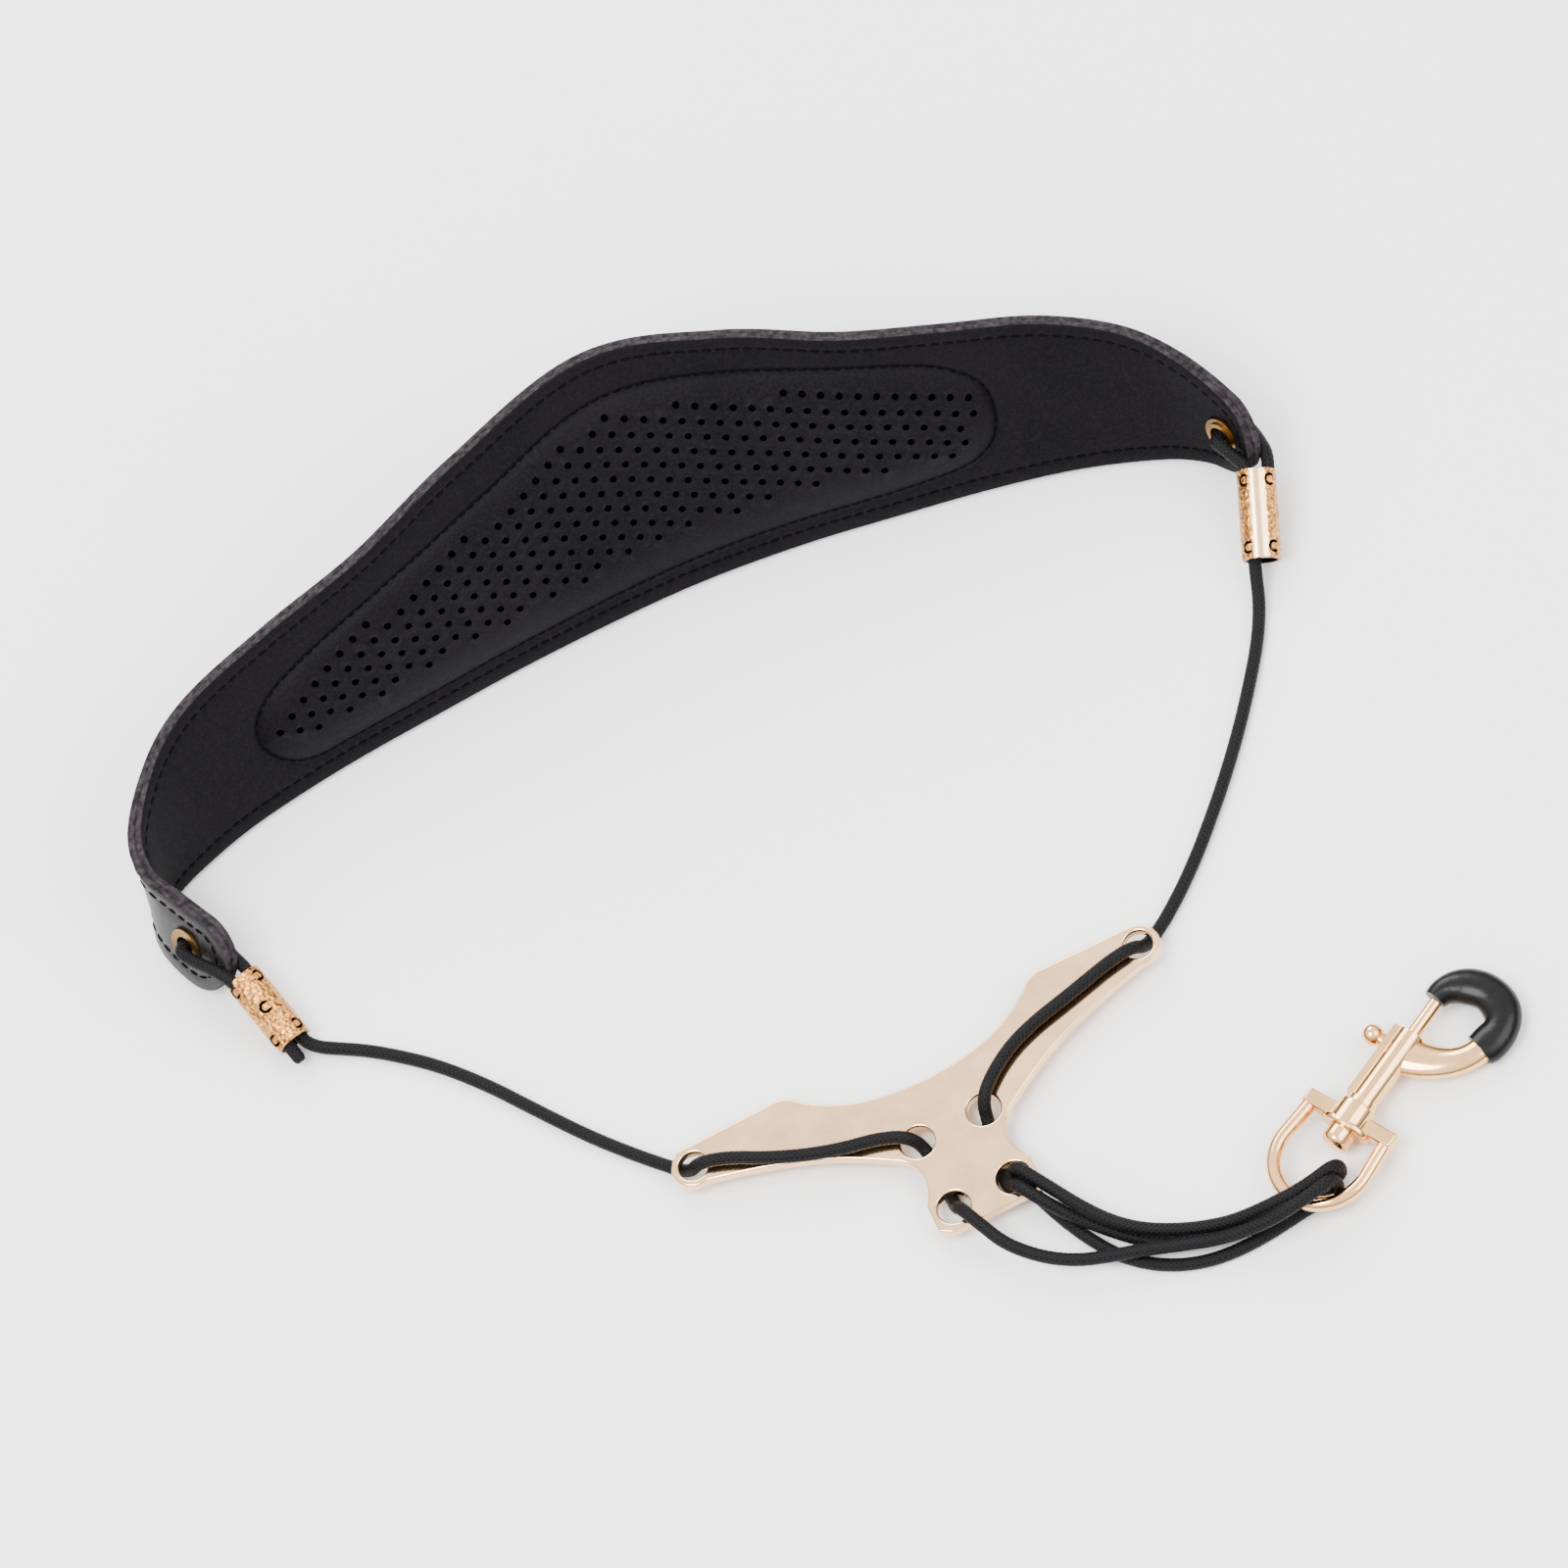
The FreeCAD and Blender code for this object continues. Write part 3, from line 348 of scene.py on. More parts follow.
def hole_places():
    """Middles of the perforations."""
    high = PAD_RING.max(axis=0)
    out = []
    for i in range(int((high[0] - HOLE_FROM) / HOLE_COLUMN) + 1):
        s = HOLE_FROM + i * HOLE_COLUMN
        share = (s - HOLE_MIDDLE) / HOLE_SPAN
        pitch = HOLE_PITCH * (1 + HOLE_GROWTH * share)
        sweep = np.polyval(HOLE_SWEEP, share)
        for j in range(-HOLE_SPARE, int(high[1] / pitch) + HOLE_SPARE):
            out.append((s - HOLE_BOW * share ** 2, (j + (i % 2) / 2) * pitch + sweep))
    out = np.array(out)
    return out[distance(out, PAD_RING) < -hole_margin(out)]


# ================================================================= mesh making
def new_object(name, verts, faces, uvs=None):
    """Mesh object with smooth faces; uvs is one pair for each vertex, in millimetres."""
    mesh = bpy.data.meshes.new(name)
    mesh.from_pydata([tuple(v) for v in verts], [], [tuple(f) for f in faces])
    mesh.shade_smooth()
    if uvs is not None:
        layer = mesh.uv_layers.new(name="UVMap")
        loops = np.empty(len(mesh.loops), dtype=np.int32)
        mesh.loops.foreach_get("vertex_index", loops)
        layer.data.foreach_set("uv", np.asarray(uvs, dtype=np.float32)[loops].ravel())
    mesh.validate()
    obj = bpy.data.objects.new(name, mesh)
    bpy.context.collection.objects.link(obj)
    return obj


def circle(middle, radius, sides):
    """Closed ring of points round a middle on the band."""
    angles = np.linspace(0, 2 * math.pi, sides, endpoint=False)
    return np.column_stack([middle[0] + radius * np.cos(angles), middle[1] + radius * np.sin(angles)])


def triangulate(rings, loose):
    """Triangles over closed rings and loose points: the points, the faces and the rings' indices."""
    verts, edges, spans = [], [], []
    for ring in rings:
        first = len(verts)
        verts.extend(Vector(p) for p in ring)
        count = len(ring)
        edges.extend((first + k, first + (k + 1) % count) for k in range(count))
        spans.append((first, count))
    verts.extend(Vector(p) for p in loose)
    out, _, faces, origin, _, _ = delaunay_2d_cdt(verts, edges, [], 0, MERGE, True)
    places = np.array([tuple(v) for v in out])
    where = {}
    for k, sources in enumerate(origin):
        for source in sources:
            where[source] = k
    loops = [[where[first + k] for k in range(count)] for first, count in spans]
    return places, np.array([tuple(f) for f in faces]), loops


def grid_points(low, high, step):
    """Staggered grid of points over a box on the band."""
    s = np.arange(low[0], high[0], step)
    w = np.arange(low[1], high[1], step)
    return np.array([(a + (j % 2) * step / 2, b) for j, b in enumerate(w) for a in s])


def strip(first, second):
    """Quads between two closed loops of vertex numbers."""
    count = len(first)
    return [(first[k], first[(k + 1) % count], second[(k + 1) % count], second[k]) for k in range(count)]


class Leather:
    """Vertices and faces of one leather piece, gathered before its mesh is made."""

    def __init__(self):
        self.verts, self.faces, self.uvs, self.slots = [], [], [], []

    def add(self, sw, lift):
        """Add vertices at places on the band and return their numbers."""
        first = len(self.verts)
        self.verts.extend(band_points(sw, lift))
        self.uvs.extend(sw)
        return list(range(first, first + len(sw)))

    def add_faces(self, faces, slot, flip=False):
        """Add faces with one material slot, turned over if flip is true."""
        for face in faces:
            self.faces.append(tuple(reversed(face)) if flip else tuple(face))
            self.slots.append(slot)

    def finish(self, name, materials):
        """Make the mesh object."""
        obj = new_object(name, self.verts, self.faces, self.uvs)
        for m in materials:
            obj.data.materials.append(m)
        obj.data.polygons.foreach_set("material_index", self.slots)
        return obj


def face_triangles(places, faces, keep):
    """The triangles whose middles are wanted by keep."""
    middles = places[faces].mean(axis=1)
    return faces[keep(middles)]


def eyelet_middles():
    """Places of the two eyelets."""
    left, right = EYELET_FROM_TIP
    out = []
    for s in (left, BAND_LENGTH - right):
        out.append((s, float(band_value("width", np.array([s]))[0]) / 2))
    return out


def make_leather_layer(name, side, lift_face, lift_back, extra, materials, hollow=None):
    """One leather layer: its visible face and bevelled cut edge. side is +1 for outwards."""
    piece = Leather()
    face_ring = band_outline(EDGE_BEVEL, EDGE_STEP)
    edge_ring = band_outline(0.0, EDGE_STEP)
    seam_rings = [band_outline(EDGE_SEAM_INSET + k, EDGE_STEP) for k in SEAM_RINGS]
    cuts = [circle(m, EYELET_CUT_R, EYELET_SIDES) for m in eyelet_middles()]
    rings = [face_ring] + seam_rings + cuts
    if hollow is not None:
        rings += [hollow] + [offset_ring(hollow, k, EDGE_STEP) for k in GROOVE_RINGS]
    loose = grid_points((0.0, 0.0), (BAND_LENGTH, MAX_WIDTH), LEATHER_STEP)
    clear = distance(loose, band_outline(0.0, COARSE_EDGE_STEP)) < -(EDGE_SEAM_INSET + SEAM_CLEAR)
    for middle in eyelet_middles():
        clear &= np.linalg.norm(loose - np.array(middle), axis=1) > EYELET_CUT_R + EYELET_CLEAR
    if hollow is not None:
        clear &= distance(loose, hollow) > LEATHER_STEP
    places, faces, loops = triangulate(rings, loose[clear])

    def keep(middles):
        wanted = inside(middles, face_ring)
        for cut in cuts:
            wanted &= ~inside(middles, cut)
        if hollow is not None:
            wanted &= ~inside(middles, hollow)
        return wanted

    lift = lift_face + side * (extra(places) + seam_dent(places))
    face = piece.add(places, lift)
    piece.add_faces(face_triangles(places, faces, keep), 0, flip=side < 0)
    rim = [face[k] for k in loops[0]]
    loops_down = [rim, piece.add(edge_ring, lift_face - side * EDGE_BEVEL),
                  piece.add(edge_ring, lift_back + side * JOIN_BEVEL),
                  piece.add(band_outline(JOIN_BEVEL, EDGE_STEP), lift_back)]
    for upper, under in zip(loops_down, loops_down[1:]):
        piece.add_faces(strip(upper, under), 1, flip=side > 0)
    for k, cut in enumerate(cuts):
        upper = [face[n] for n in loops[1 + len(seam_rings) + k]]
        under = piece.add(cut, lift_back)
        piece.add_faces(strip(upper, under), 1, flip=side < 0)
    return piece.finish(name, materials)


def make_pad(materials):
    """Perforated leather over the foam, from the bottom of its groove up over the crown."""
    piece = Leather()
    holes = hole_places()
    circles = [circle(m, HOLE_R, HOLE_SIDES) for m in holes]
    shoulders = [offset_ring(PAD_RING, k, SHOULDER_STEP) for k in SHOULDER_RINGS]
    loose = grid_points(PAD_RING.min(axis=0), PAD_RING.max(axis=0), PAD_STEP)

    def gap(points):
        return np.linalg.norm(points[:, None] - holes[None], axis=2).min(axis=1)

    def keep(middles):
        return inside(middles, PAD_RING) & (gap(middles) > HOLE_R * HOLE_OPEN)

    clear = (distance(loose, PAD_RING) < -SHOULDER_CLEAR) & (gap(loose) > HOLE_R + HOLE_CLEAR)
    places, faces, loops = triangulate([PAD_RING] + circles + shoulders, loose[clear])
    surface = -(SEAM_GAP + INNER_THICK + pad_lift(places))
    for loop in loops[1:1 + len(circles)]:
        surface[loop] += HOLE_FLARE
    face = piece.add(places, surface)
    piece.add_faces(face_triangles(places, faces, keep), 0, flip=True)
    # Walls down each hole, in the darker second material: painted shade inside the perforations.
    for loop, middle in zip(loops[1:1 + len(circles)], holes):
        rim = [face[k] for k in loop]
        wall = places[loop] - (places[loop] - middle) * HOLE_TAPER
        bottom = piece.add(wall, surface[loop] + COVER_THICK)
        piece.add_faces(strip(rim, bottom), 1)
    return piece.finish("pad_cover", materials)


def make_foam(material):
    """Foam that fills the pad from the seam plane up to the underside of its cover."""
    piece = Leather()
    ring = offset_ring(PAD_RING, FOAM_INSET, SHOULDER_STEP)
    loose = grid_points(ring.min(axis=0), ring.max(axis=0), PAD_STEP)
    places, faces, loops = triangulate([ring], loose[distance(loose, ring) < -FOAM_CLEAR])
    kept = face_triangles(places, faces, lambda middles: inside(middles, ring))
    top = piece.add(places, COVER_THICK - (SEAM_GAP + INNER_THICK + pad_lift(places)))
    piece.add_faces(kept, 0, flip=True)
    bottom = piece.add(places, -SEAM_GAP)
    piece.add_faces(kept + bottom[0], 0)
    piece.add_faces(strip([top[k] for k in loops[0]], [bottom[k] for k in loops[0]]), 0)
    return piece.finish("pad_foam_block", [material])


def make_stitches(name, line, lift, pitch, material):
    """Row of thread stitches at one lift along a closed line on the band, each a small bent capsule."""
    ring = resample(np.vstack([line, line[:1]]), STITCH_PATH_STEP)
    lengths = np.concatenate([[0], np.cumsum(np.linalg.norm(np.diff(ring, axis=0), axis=1))])
    count = int(lengths[-1] / pitch)
    step = lengths[-1] / count
    places, girths, rises = np.array(STITCH_RINGS).T
    lifts = lift + rises * THREAD_R * math.copysign(1, lift)
    angles = np.linspace(0, 2 * math.pi, STITCH_SIDES, endpoint=False)
    verts, faces = [], []
    for n in range(count):
        at = ((n + 0.5) * step + places * step * STITCH_SHARE / 2) % lengths[-1]
        sw = np.column_stack([np.interp(at, lengths, ring[:, k]) for k in range(2)])
        centres = band_points(sw, lifts)
        normal = band_value("normal", sw[:, 0])
        across = unit(np.cross(unit(np.gradient(centres, axis=0)), normal))
        loops = []
        for centre, a, b, girth in zip(centres, across, normal, girths):
            loops.append(list(range(len(verts), len(verts) + STITCH_SIDES)))
            radius = THREAD_R * girth * MM
            verts.extend(centre + radius * (np.outer(np.cos(angles), a) + np.outer(np.sin(angles), b)))
        for one, two in zip(loops, loops[1:]):
            faces.extend(strip(one, two))
        faces.append(tuple(reversed(loops[0])))
        faces.append(tuple(loops[-1]))
    obj = new_object(name, verts, faces)
    obj.data.materials.append(material)
    return obj


# ================================================================= cord
def route_line(name, points):
    """Centreline of a cord: points read from the NURBS curve that its route controls, in metres."""
    curve = bpy.data.curves.new(name + "_route", "CURVE")
    curve.dimensions = "3D"
    curve.resolution_u = 16
    spline = curve.splines.new("NURBS")
    spline.points.add(len(points) - 1)
    for point, place in zip(spline.points, points):
        point.co = (place[0] * MM, place[1] * MM, place[2] * MM, 1.0)
    spline.use_endpoint_u = True
    spline.order_u = 3
    holder = bpy.data.objects.new(name + "_route", curve)
    bpy.context.collection.objects.link(holder)
    bpy.context.view_layer.update()
    mesh = bpy.data.meshes.new_from_object(holder)
    line = np.array([tuple(v.co) for v in mesh.vertices])
    bpy.data.objects.remove(holder)
    bpy.data.meshes.remove(mesh)
    return line


def frames_along(line):
    """Tangents, and a pair of square directions that turn as little as possible along a line."""
    tangent = unit(np.gradient(line, axis=0))
    side = np.cross(tangent[0], (0, 0, 1.0))
    sides = []
    for t in tangent:
        side = side - t * np.dot(side, t)
        side = side / np.linalg.norm(side)
        sides.append(side)
    sides = np.array(sides)
    return tangent, sides, np.cross(tangent, sides)


def make_cord(name, route, material, melted_start):
    """Braided cord: a tube whose surface carries the crossing strands of the braid."""
    line = resample(route_line(name, route), CORD_RINGS_STEP * MM)
    _, side, other = frames_along(line)
    length = np.concatenate([[0], np.cumsum(np.linalg.norm(np.diff(line, axis=0), axis=1))]) / MM
    radius = np.full(len(line), CORD_R)
    if melted_start:
        radius = radius * (1 - MELT_TAPER * np.clip(1 - length / MELT_LENGTH, 0, 1) ** 2)
    angles = np.linspace(0, 2 * math.pi, CORD_SIDES + 1)
    phase = 2 * math.pi * length / BRAID_PITCH
    verts, uvs = [], []
    for k in range(len(line)):
        weave = np.cos(BRAID_STRANDS * angles / 2 + phase[k]) * np.cos(BRAID_STRANDS * angles / 2 - phase[k])
        r = (radius[k] + BRAID_RELIEF * (np.abs(weave) * 2 - 1)) * MM
        verts.extend(line[k] + np.outer(r * np.cos(angles), side[k]) + np.outer(r * np.sin(angles), other[k]))
        uvs.extend(np.column_stack([np.full(len(angles), length[k]), angles * CORD_R]))
    faces = []
    row = CORD_SIDES + 1
    for k in range(len(line) - 1):
        for first in range(k * row, k * row + CORD_SIDES):
            faces.append((first, first + 1, first + 1 + row, first + row))
    faces.append(tuple(reversed(range(CORD_SIDES))))
    last = (len(line) - 1) * row
    faces.append(tuple(last + a for a in range(CORD_SIDES)))
    obj = new_object(name + "_braid", verts, faces, uvs)
    obj.data.materials.append(material)
    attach(obj, "strap")
    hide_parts(name)
    return obj


# ================================================================= materials
def nodes_of(name):
    """New node material with its principled shader."""
    material = bpy.data.materials.new(name)
    material.use_nodes = True
    tree = material.node_tree
    shader = tree.nodes["Principled BSDF"]
    return material, tree, shader


def add(tree, kind, **values):
    """New node with its settings and input values; an input's spaces are written as underscores."""
    node = tree.nodes.new(kind)
    for key, value in values.items():
        if hasattr(node, key):
            setattr(node, key, value)
        else:
            node.inputs[key.replace("_", " ")].default_value = value
    return node


def link(tree, source, target):
    """Join an output to an input."""
    tree.links.new(source, target)


def linear(rgb):
    """Linear colour of display values from 0 to 255."""
    return tuple((c / 255) ** 2.2 for c in rgb) + (1.0,)


def ramp(tree, source, stops):
    """Colour ramp of (place, colour) stops, fed by an output."""
    node = tree.nodes.new("ShaderNodeValToRGB")
    elements = node.color_ramp.elements
    while len(elements) < len(stops):
        elements.new(0.5)
    for element, (place, colour) in zip(elements, stops):
        element.position = place
        element.color = colour
    link(tree, source, node.inputs[0])
    return node


def place_output(tree, kind="Object"):
    """One output of a new texture coordinate node."""
    return tree.nodes.new("ShaderNodeTexCoord").outputs[kind]


def bump_chain(tree, shader, layers):
    """Stack bumps onto a shader: each layer is a height output and its depth in millimetres."""
    previous = None
    for height, depth in layers:
        bump = add(tree, "ShaderNodeBump", Strength=1.0, Distance=depth * MM)
        link(tree, height, bump.inputs["Height"])
        if previous is not None:
            link(tree, previous, bump.inputs["Normal"])
        previous = bump.outputs["Normal"]
    link(tree, previous, shader.inputs["Normal"])


def leather_material(name, dark, light, roughness, shine, grain=0.05):
    """Fine-grained leather: pebbled bump, slight colour clouds and uneven gloss."""
    material, tree, shader = nodes_of(name)
    place = place_output(tree)
    pebbles = add(tree, "ShaderNodeTexVoronoi", feature="SMOOTH_F1", Scale=1500.0, Smoothness=0.6)
    creases = add(tree, "ShaderNodeTexNoise", Scale=420.0, Detail=6.0, Roughness=0.62)
    clouds = add(tree, "ShaderNodeTexNoise", Scale=28.0, Detail=4.0, Roughness=0.55)
    for node in (pebbles, creases, clouds):
        link(tree, place, node.inputs["Vector"])
    mixed = math_node(tree, "ADD", math_node(tree, "MULTIPLY", clouds.outputs["Fac"], 0.45),
                      math_node(tree, "MULTIPLY", pebbles.outputs["Distance"], 0.7))
    tone = ramp(tree, mixed, [(0.3, linear(dark)), (0.72, linear(light))])
    link(tree, tone.outputs["Color"], shader.inputs["Base Color"])
    gloss = add(tree, "ShaderNodeMapRange", To_Min=roughness - 0.07, To_Max=roughness + 0.08)
    link(tree, creases.outputs["Fac"], gloss.inputs["Value"])
    link(tree, gloss.outputs["Result"], shader.inputs["Roughness"])
    shader.inputs["Specular IOR Level"].default_value = shine
    bump_chain(tree, shader, [(creases.outputs["Fac"], grain * 1.6), (pebbles.outputs["Distance"], grain)])
    return material


def cut_edge_material():
    """Raw cut edge of the leather: grey-brown fibres with fine fuzz."""
    material, tree, shader = nodes_of("leather_cut_edge")
    place = place_output(tree)
    fibres = add(tree, "ShaderNodeTexNoise", Scale=900.0, Detail=8.0, Roughness=0.7)
    mottle = add(tree, "ShaderNodeTexNoise", Scale=750.0, Detail=3.0)
    link(tree, place, fibres.inputs["Vector"])
    link(tree, place, mottle.inputs["Vector"])
    tone = ramp(tree, mottle.outputs["Fac"], [(0.35, linear((28, 25, 28))), (0.7, linear((60, 55, 58)))])
    link(tree, tone.outputs["Color"], shader.inputs["Base Color"])
    shader.inputs["Roughness"].default_value = 0.88
    shader.inputs["Specular IOR Level"].default_value = 0.15
    bump_chain(tree, shader, [(fibres.outputs["Fac"], 0.12)])
    return material


def thread_material():
    """Twisted polyester thread."""
    material, tree, shader = nodes_of("stitch_thread")
    twist = add(tree, "ShaderNodeTexWave", wave_type="BANDS", bands_direction="DIAGONAL", Scale=900.0)
    fuzz = add(tree, "ShaderNodeTexNoise", Scale=2200.0)
    link(tree, place_output(tree), twist.inputs["Vector"])
    link(tree, place_output(tree), fuzz.inputs["Vector"])
    tone = ramp(tree, fuzz.outputs["Fac"], [(0.3, linear((4, 4, 5))), (0.7, linear((13, 12, 14)))])
    link(tree, tone.outputs["Color"], shader.inputs["Base Color"])
    shader.inputs["Roughness"].default_value = 0.6
    shader.inputs["Specular IOR Level"].default_value = 0.05
    bump_chain(tree, shader, [(twist.outputs["Fac"], 0.04)])
    return material


def math_node(tree, operation, first, second=None):
    """Output of a maths node; first and second are outputs or numbers."""
    node = tree.nodes.new("ShaderNodeMath")
    node.operation = operation
    for socket, value in zip(node.inputs, (first, second)):
        if value is None:
            continue
        if isinstance(value, (int, float)):
            socket.default_value = value
        else:
            link(tree, value, socket)
    return node.outputs[0]


def cord_material():
    """Tight braid: strands that cross both ways, worked out from the length and girth in millimetres."""
    material, tree, shader = nodes_of("braided_cord")
    split = tree.nodes.new("ShaderNodeSeparateXYZ")
    link(tree, place_output(tree, "UV"), split.inputs[0])
    along, girth = split.outputs[0], split.outputs[1]
    turns = 4 * math.pi / BRAID_PITCH
    one = math_node(tree, "MULTIPLY", math_node(tree, "ADD", along, girth), turns)
    two = math_node(tree, "MULTIPLY", math_node(tree, "SUBTRACT", along, girth), turns)
    strands = math_node(tree, "MAXIMUM", math_node(tree, "SINE", one), math_node(tree, "SINE", two))
    fibres = add(tree, "ShaderNodeTexNoise", Scale=1600.0, Detail=5.0)
    link(tree, place_output(tree), fibres.inputs["Vector"])
    mixed = math_node(tree, "ADD", math_node(tree, "MULTIPLY", strands, 0.5), fibres.outputs["Fac"])
    tone = ramp(tree, mixed, [(0.05, linear((3, 3, 4))), (0.95, linear((23, 22, 24)))])
    link(tree, tone.outputs["Color"], shader.inputs["Base Color"])
    shader.inputs["Roughness"].default_value = 0.5
    shader.inputs["Specular IOR Level"].default_value = 0.12
    bump_chain(tree, shader, [(strands, 0.07), (fibres.outputs["Fac"], 0.04)])
    return material


def metal_material(name, colour, roughness, ripple, ripple_scale, tint=None):
    """Plated metal: bright with faint ripples and slightly uneven plating."""
    material, tree, shader = nodes_of(name)
    place = place_output(tree)
    ripples = add(tree, "ShaderNodeTexNoise", Scale=ripple_scale, Detail=3.0)
    wear = add(tree, "ShaderNodeTexNoise", Scale=90.0, Detail=5.0, Roughness=0.6)
    link(tree, place, ripples.inputs["Vector"])
    link(tree, place, wear.inputs["Vector"])
    second = tint or tuple(int(c * 0.93) for c in colour)
    tone = ramp(tree, wear.outputs["Fac"], [(0.35, linear(second)), (0.6, linear(colour))])
    link(tree, tone.outputs["Color"], shader.inputs["Base Color"])
    gloss = add(tree, "ShaderNodeMapRange", To_Min=roughness * 0.7, To_Max=roughness * 1.5)
    link(tree, wear.outputs["Fac"], gloss.inputs["Value"])
    link(tree, gloss.outputs["Result"], shader.inputs["Roughness"])
    shader.inputs["Metallic"].default_value = 1.0
    bump_chain(tree, shader, [(ripples.outputs["Fac"], ripple)])
    return material


def bead_material(name):
    """Hammered gold, dark within, with one smooth lengthwise panel, found from the bead's own axis."""
    material, tree, shader = nodes_of(name + "_gold")
    start, end = (Vector(p) * MM for p in BEAD_AXES[name])
    axis = (end - start).normalized()
    facing = Vector(BEAD_PANEL_FACES[name])
    facing = (facing - axis * facing.dot(axis)).normalized()
    place = place_output(tree)
    relative = add(tree, "ShaderNodeVectorMath", operation="SUBTRACT")
    link(tree, place, relative.inputs[0])
    relative.inputs[1].default_value = start
    along = add(tree, "ShaderNodeVectorMath", operation="PROJECT")
    link(tree, relative.outputs[0], along.inputs[0])
    along.inputs[1].default_value = axis
    radial = add(tree, "ShaderNodeVectorMath", operation="SUBTRACT")
    link(tree, relative.outputs[0], radial.inputs[0])
    link(tree, along.outputs[0], radial.inputs[1])
    flat = add(tree, "ShaderNodeVectorMath", operation="NORMALIZE")
    link(tree, radial.outputs[0], flat.inputs[0])
    towards = add(tree, "ShaderNodeVectorMath", operation="DOT_PRODUCT")
    link(tree, flat.outputs[0], towards.inputs[0])
    towards.inputs[1].default_value = facing
    limit = math.cos(math.radians(BEAD_PANEL_HALF_ANGLE))
    panel = add(tree, "ShaderNodeMapRange", From_Min=limit - BEAD_PANEL_EDGE,
                From_Max=limit + BEAD_PANEL_EDGE)
    link(tree, towards.outputs["Value"], panel.inputs["Value"])
    hammered = math_node(tree, "SUBTRACT", 1.0, panel.outputs["Result"])
    dents = add(tree, "ShaderNodeTexVoronoi", feature="F1", Scale=1050.0)
    grit = add(tree, "ShaderNodeTexNoise", Scale=1300.0, Detail=4.0)
    for node in (dents, grit):
        link(tree, place, node.inputs["Vector"])
    grains = math_node(tree, "MULTIPLY", grit.outputs["Fac"], 0.6)
    relief = math_node(tree, "MULTIPLY", math_node(tree, "ADD", dents.outputs["Distance"], grains), hammered)
    rough_stops = [(0.3, linear((120, 62, 22))), (0.68, linear((240, 174, 98)))]
    rough_tone = ramp(tree, grit.outputs["Fac"], rough_stops)
    tone = add(tree, "ShaderNodeMix", data_type="RGBA")
    link(tree, panel.outputs["Result"], tone.inputs["Factor"])
    link(tree, rough_tone.outputs["Color"], tone.inputs["A"])
    tone.inputs["B"].default_value = linear((250, 206, 160))
    reach = add(tree, "ShaderNodeVectorMath", operation="LENGTH")
    link(tree, radial.outputs[0], reach.inputs[0])
    skin = add(tree, "ShaderNodeMapRange", From_Min=BEAD_SKIN[0] * MM, From_Max=BEAD_SKIN[1] * MM)
    link(tree, reach.outputs["Value"], skin.inputs["Value"])
    # Dark brown nearer the axis than the first radius of BEAD_SKIN, the gold colour past the second.
    darker_within = add(tree, "ShaderNodeMix", data_type="RGBA")
    link(tree, skin.outputs["Result"], darker_within.inputs["Factor"])
    darker_within.inputs["A"].default_value = linear((34, 20, 10))
    link(tree, tone.outputs["Result"], darker_within.inputs["B"])
    link(tree, darker_within.outputs["Result"], shader.inputs["Base Color"])
    gloss = add(tree, "ShaderNodeMapRange", To_Min=0.16, To_Max=0.3)
    link(tree, hammered, gloss.inputs["Value"])
    link(tree, gloss.outputs["Result"], shader.inputs["Roughness"])
    shader.inputs["Metallic"].default_value = 1.0
    bump_chain(tree, shader, [(relief, 0.34)])
    return material


def coating_material():
    """Satin dipped coating on the hook's nose, with small dimples."""
    material, tree, shader = nodes_of("dipped_coating")
    place = place_output(tree)
    dimples = add(tree, "ShaderNodeTexNoise", Scale=300.0, Detail=3.0)
    fine = add(tree, "ShaderNodeTexNoise", Scale=1800.0, Detail=4.0)
    for node in (dimples, fine):
        link(tree, place, node.inputs["Vector"])
    tone = ramp(tree, dimples.outputs["Fac"], [(0.3, linear((9, 9, 10))), (0.75, linear((17, 17, 18)))])
    link(tree, tone.outputs["Color"], shader.inputs["Base Color"])
    shader.inputs["Roughness"].default_value = 0.28
    shader.inputs["Specular IOR Level"].default_value = 0.22
    bump_chain(tree, shader, [(dimples.outputs["Fac"], 0.15), (fine.outputs["Fac"], 0.02)])
    return material


def foam_material():
    """Open-celled dark foam, seen only through the perforations; its colour is darkened further as painted
    shade at the hole bottoms.
    """
    material, tree, shader = nodes_of("pad_foam_cells")
    cells = add(tree, "ShaderNodeTexVoronoi", Scale=1800.0)
    link(tree, place_output(tree), cells.inputs["Vector"])
    tone = ramp(tree, cells.outputs["Distance"], [(0.1, linear((6, 6, 7))), (0.7, linear((14, 14, 15)))])
    link(tree, tone.outputs["Color"], shader.inputs["Base Color"])
    shader.inputs["Roughness"].default_value = 0.95
    shader.inputs["Specular IOR Level"].default_value = 0.02
    bump_chain(tree, shader, [(cells.outputs["Distance"], 0.2)])
    return material


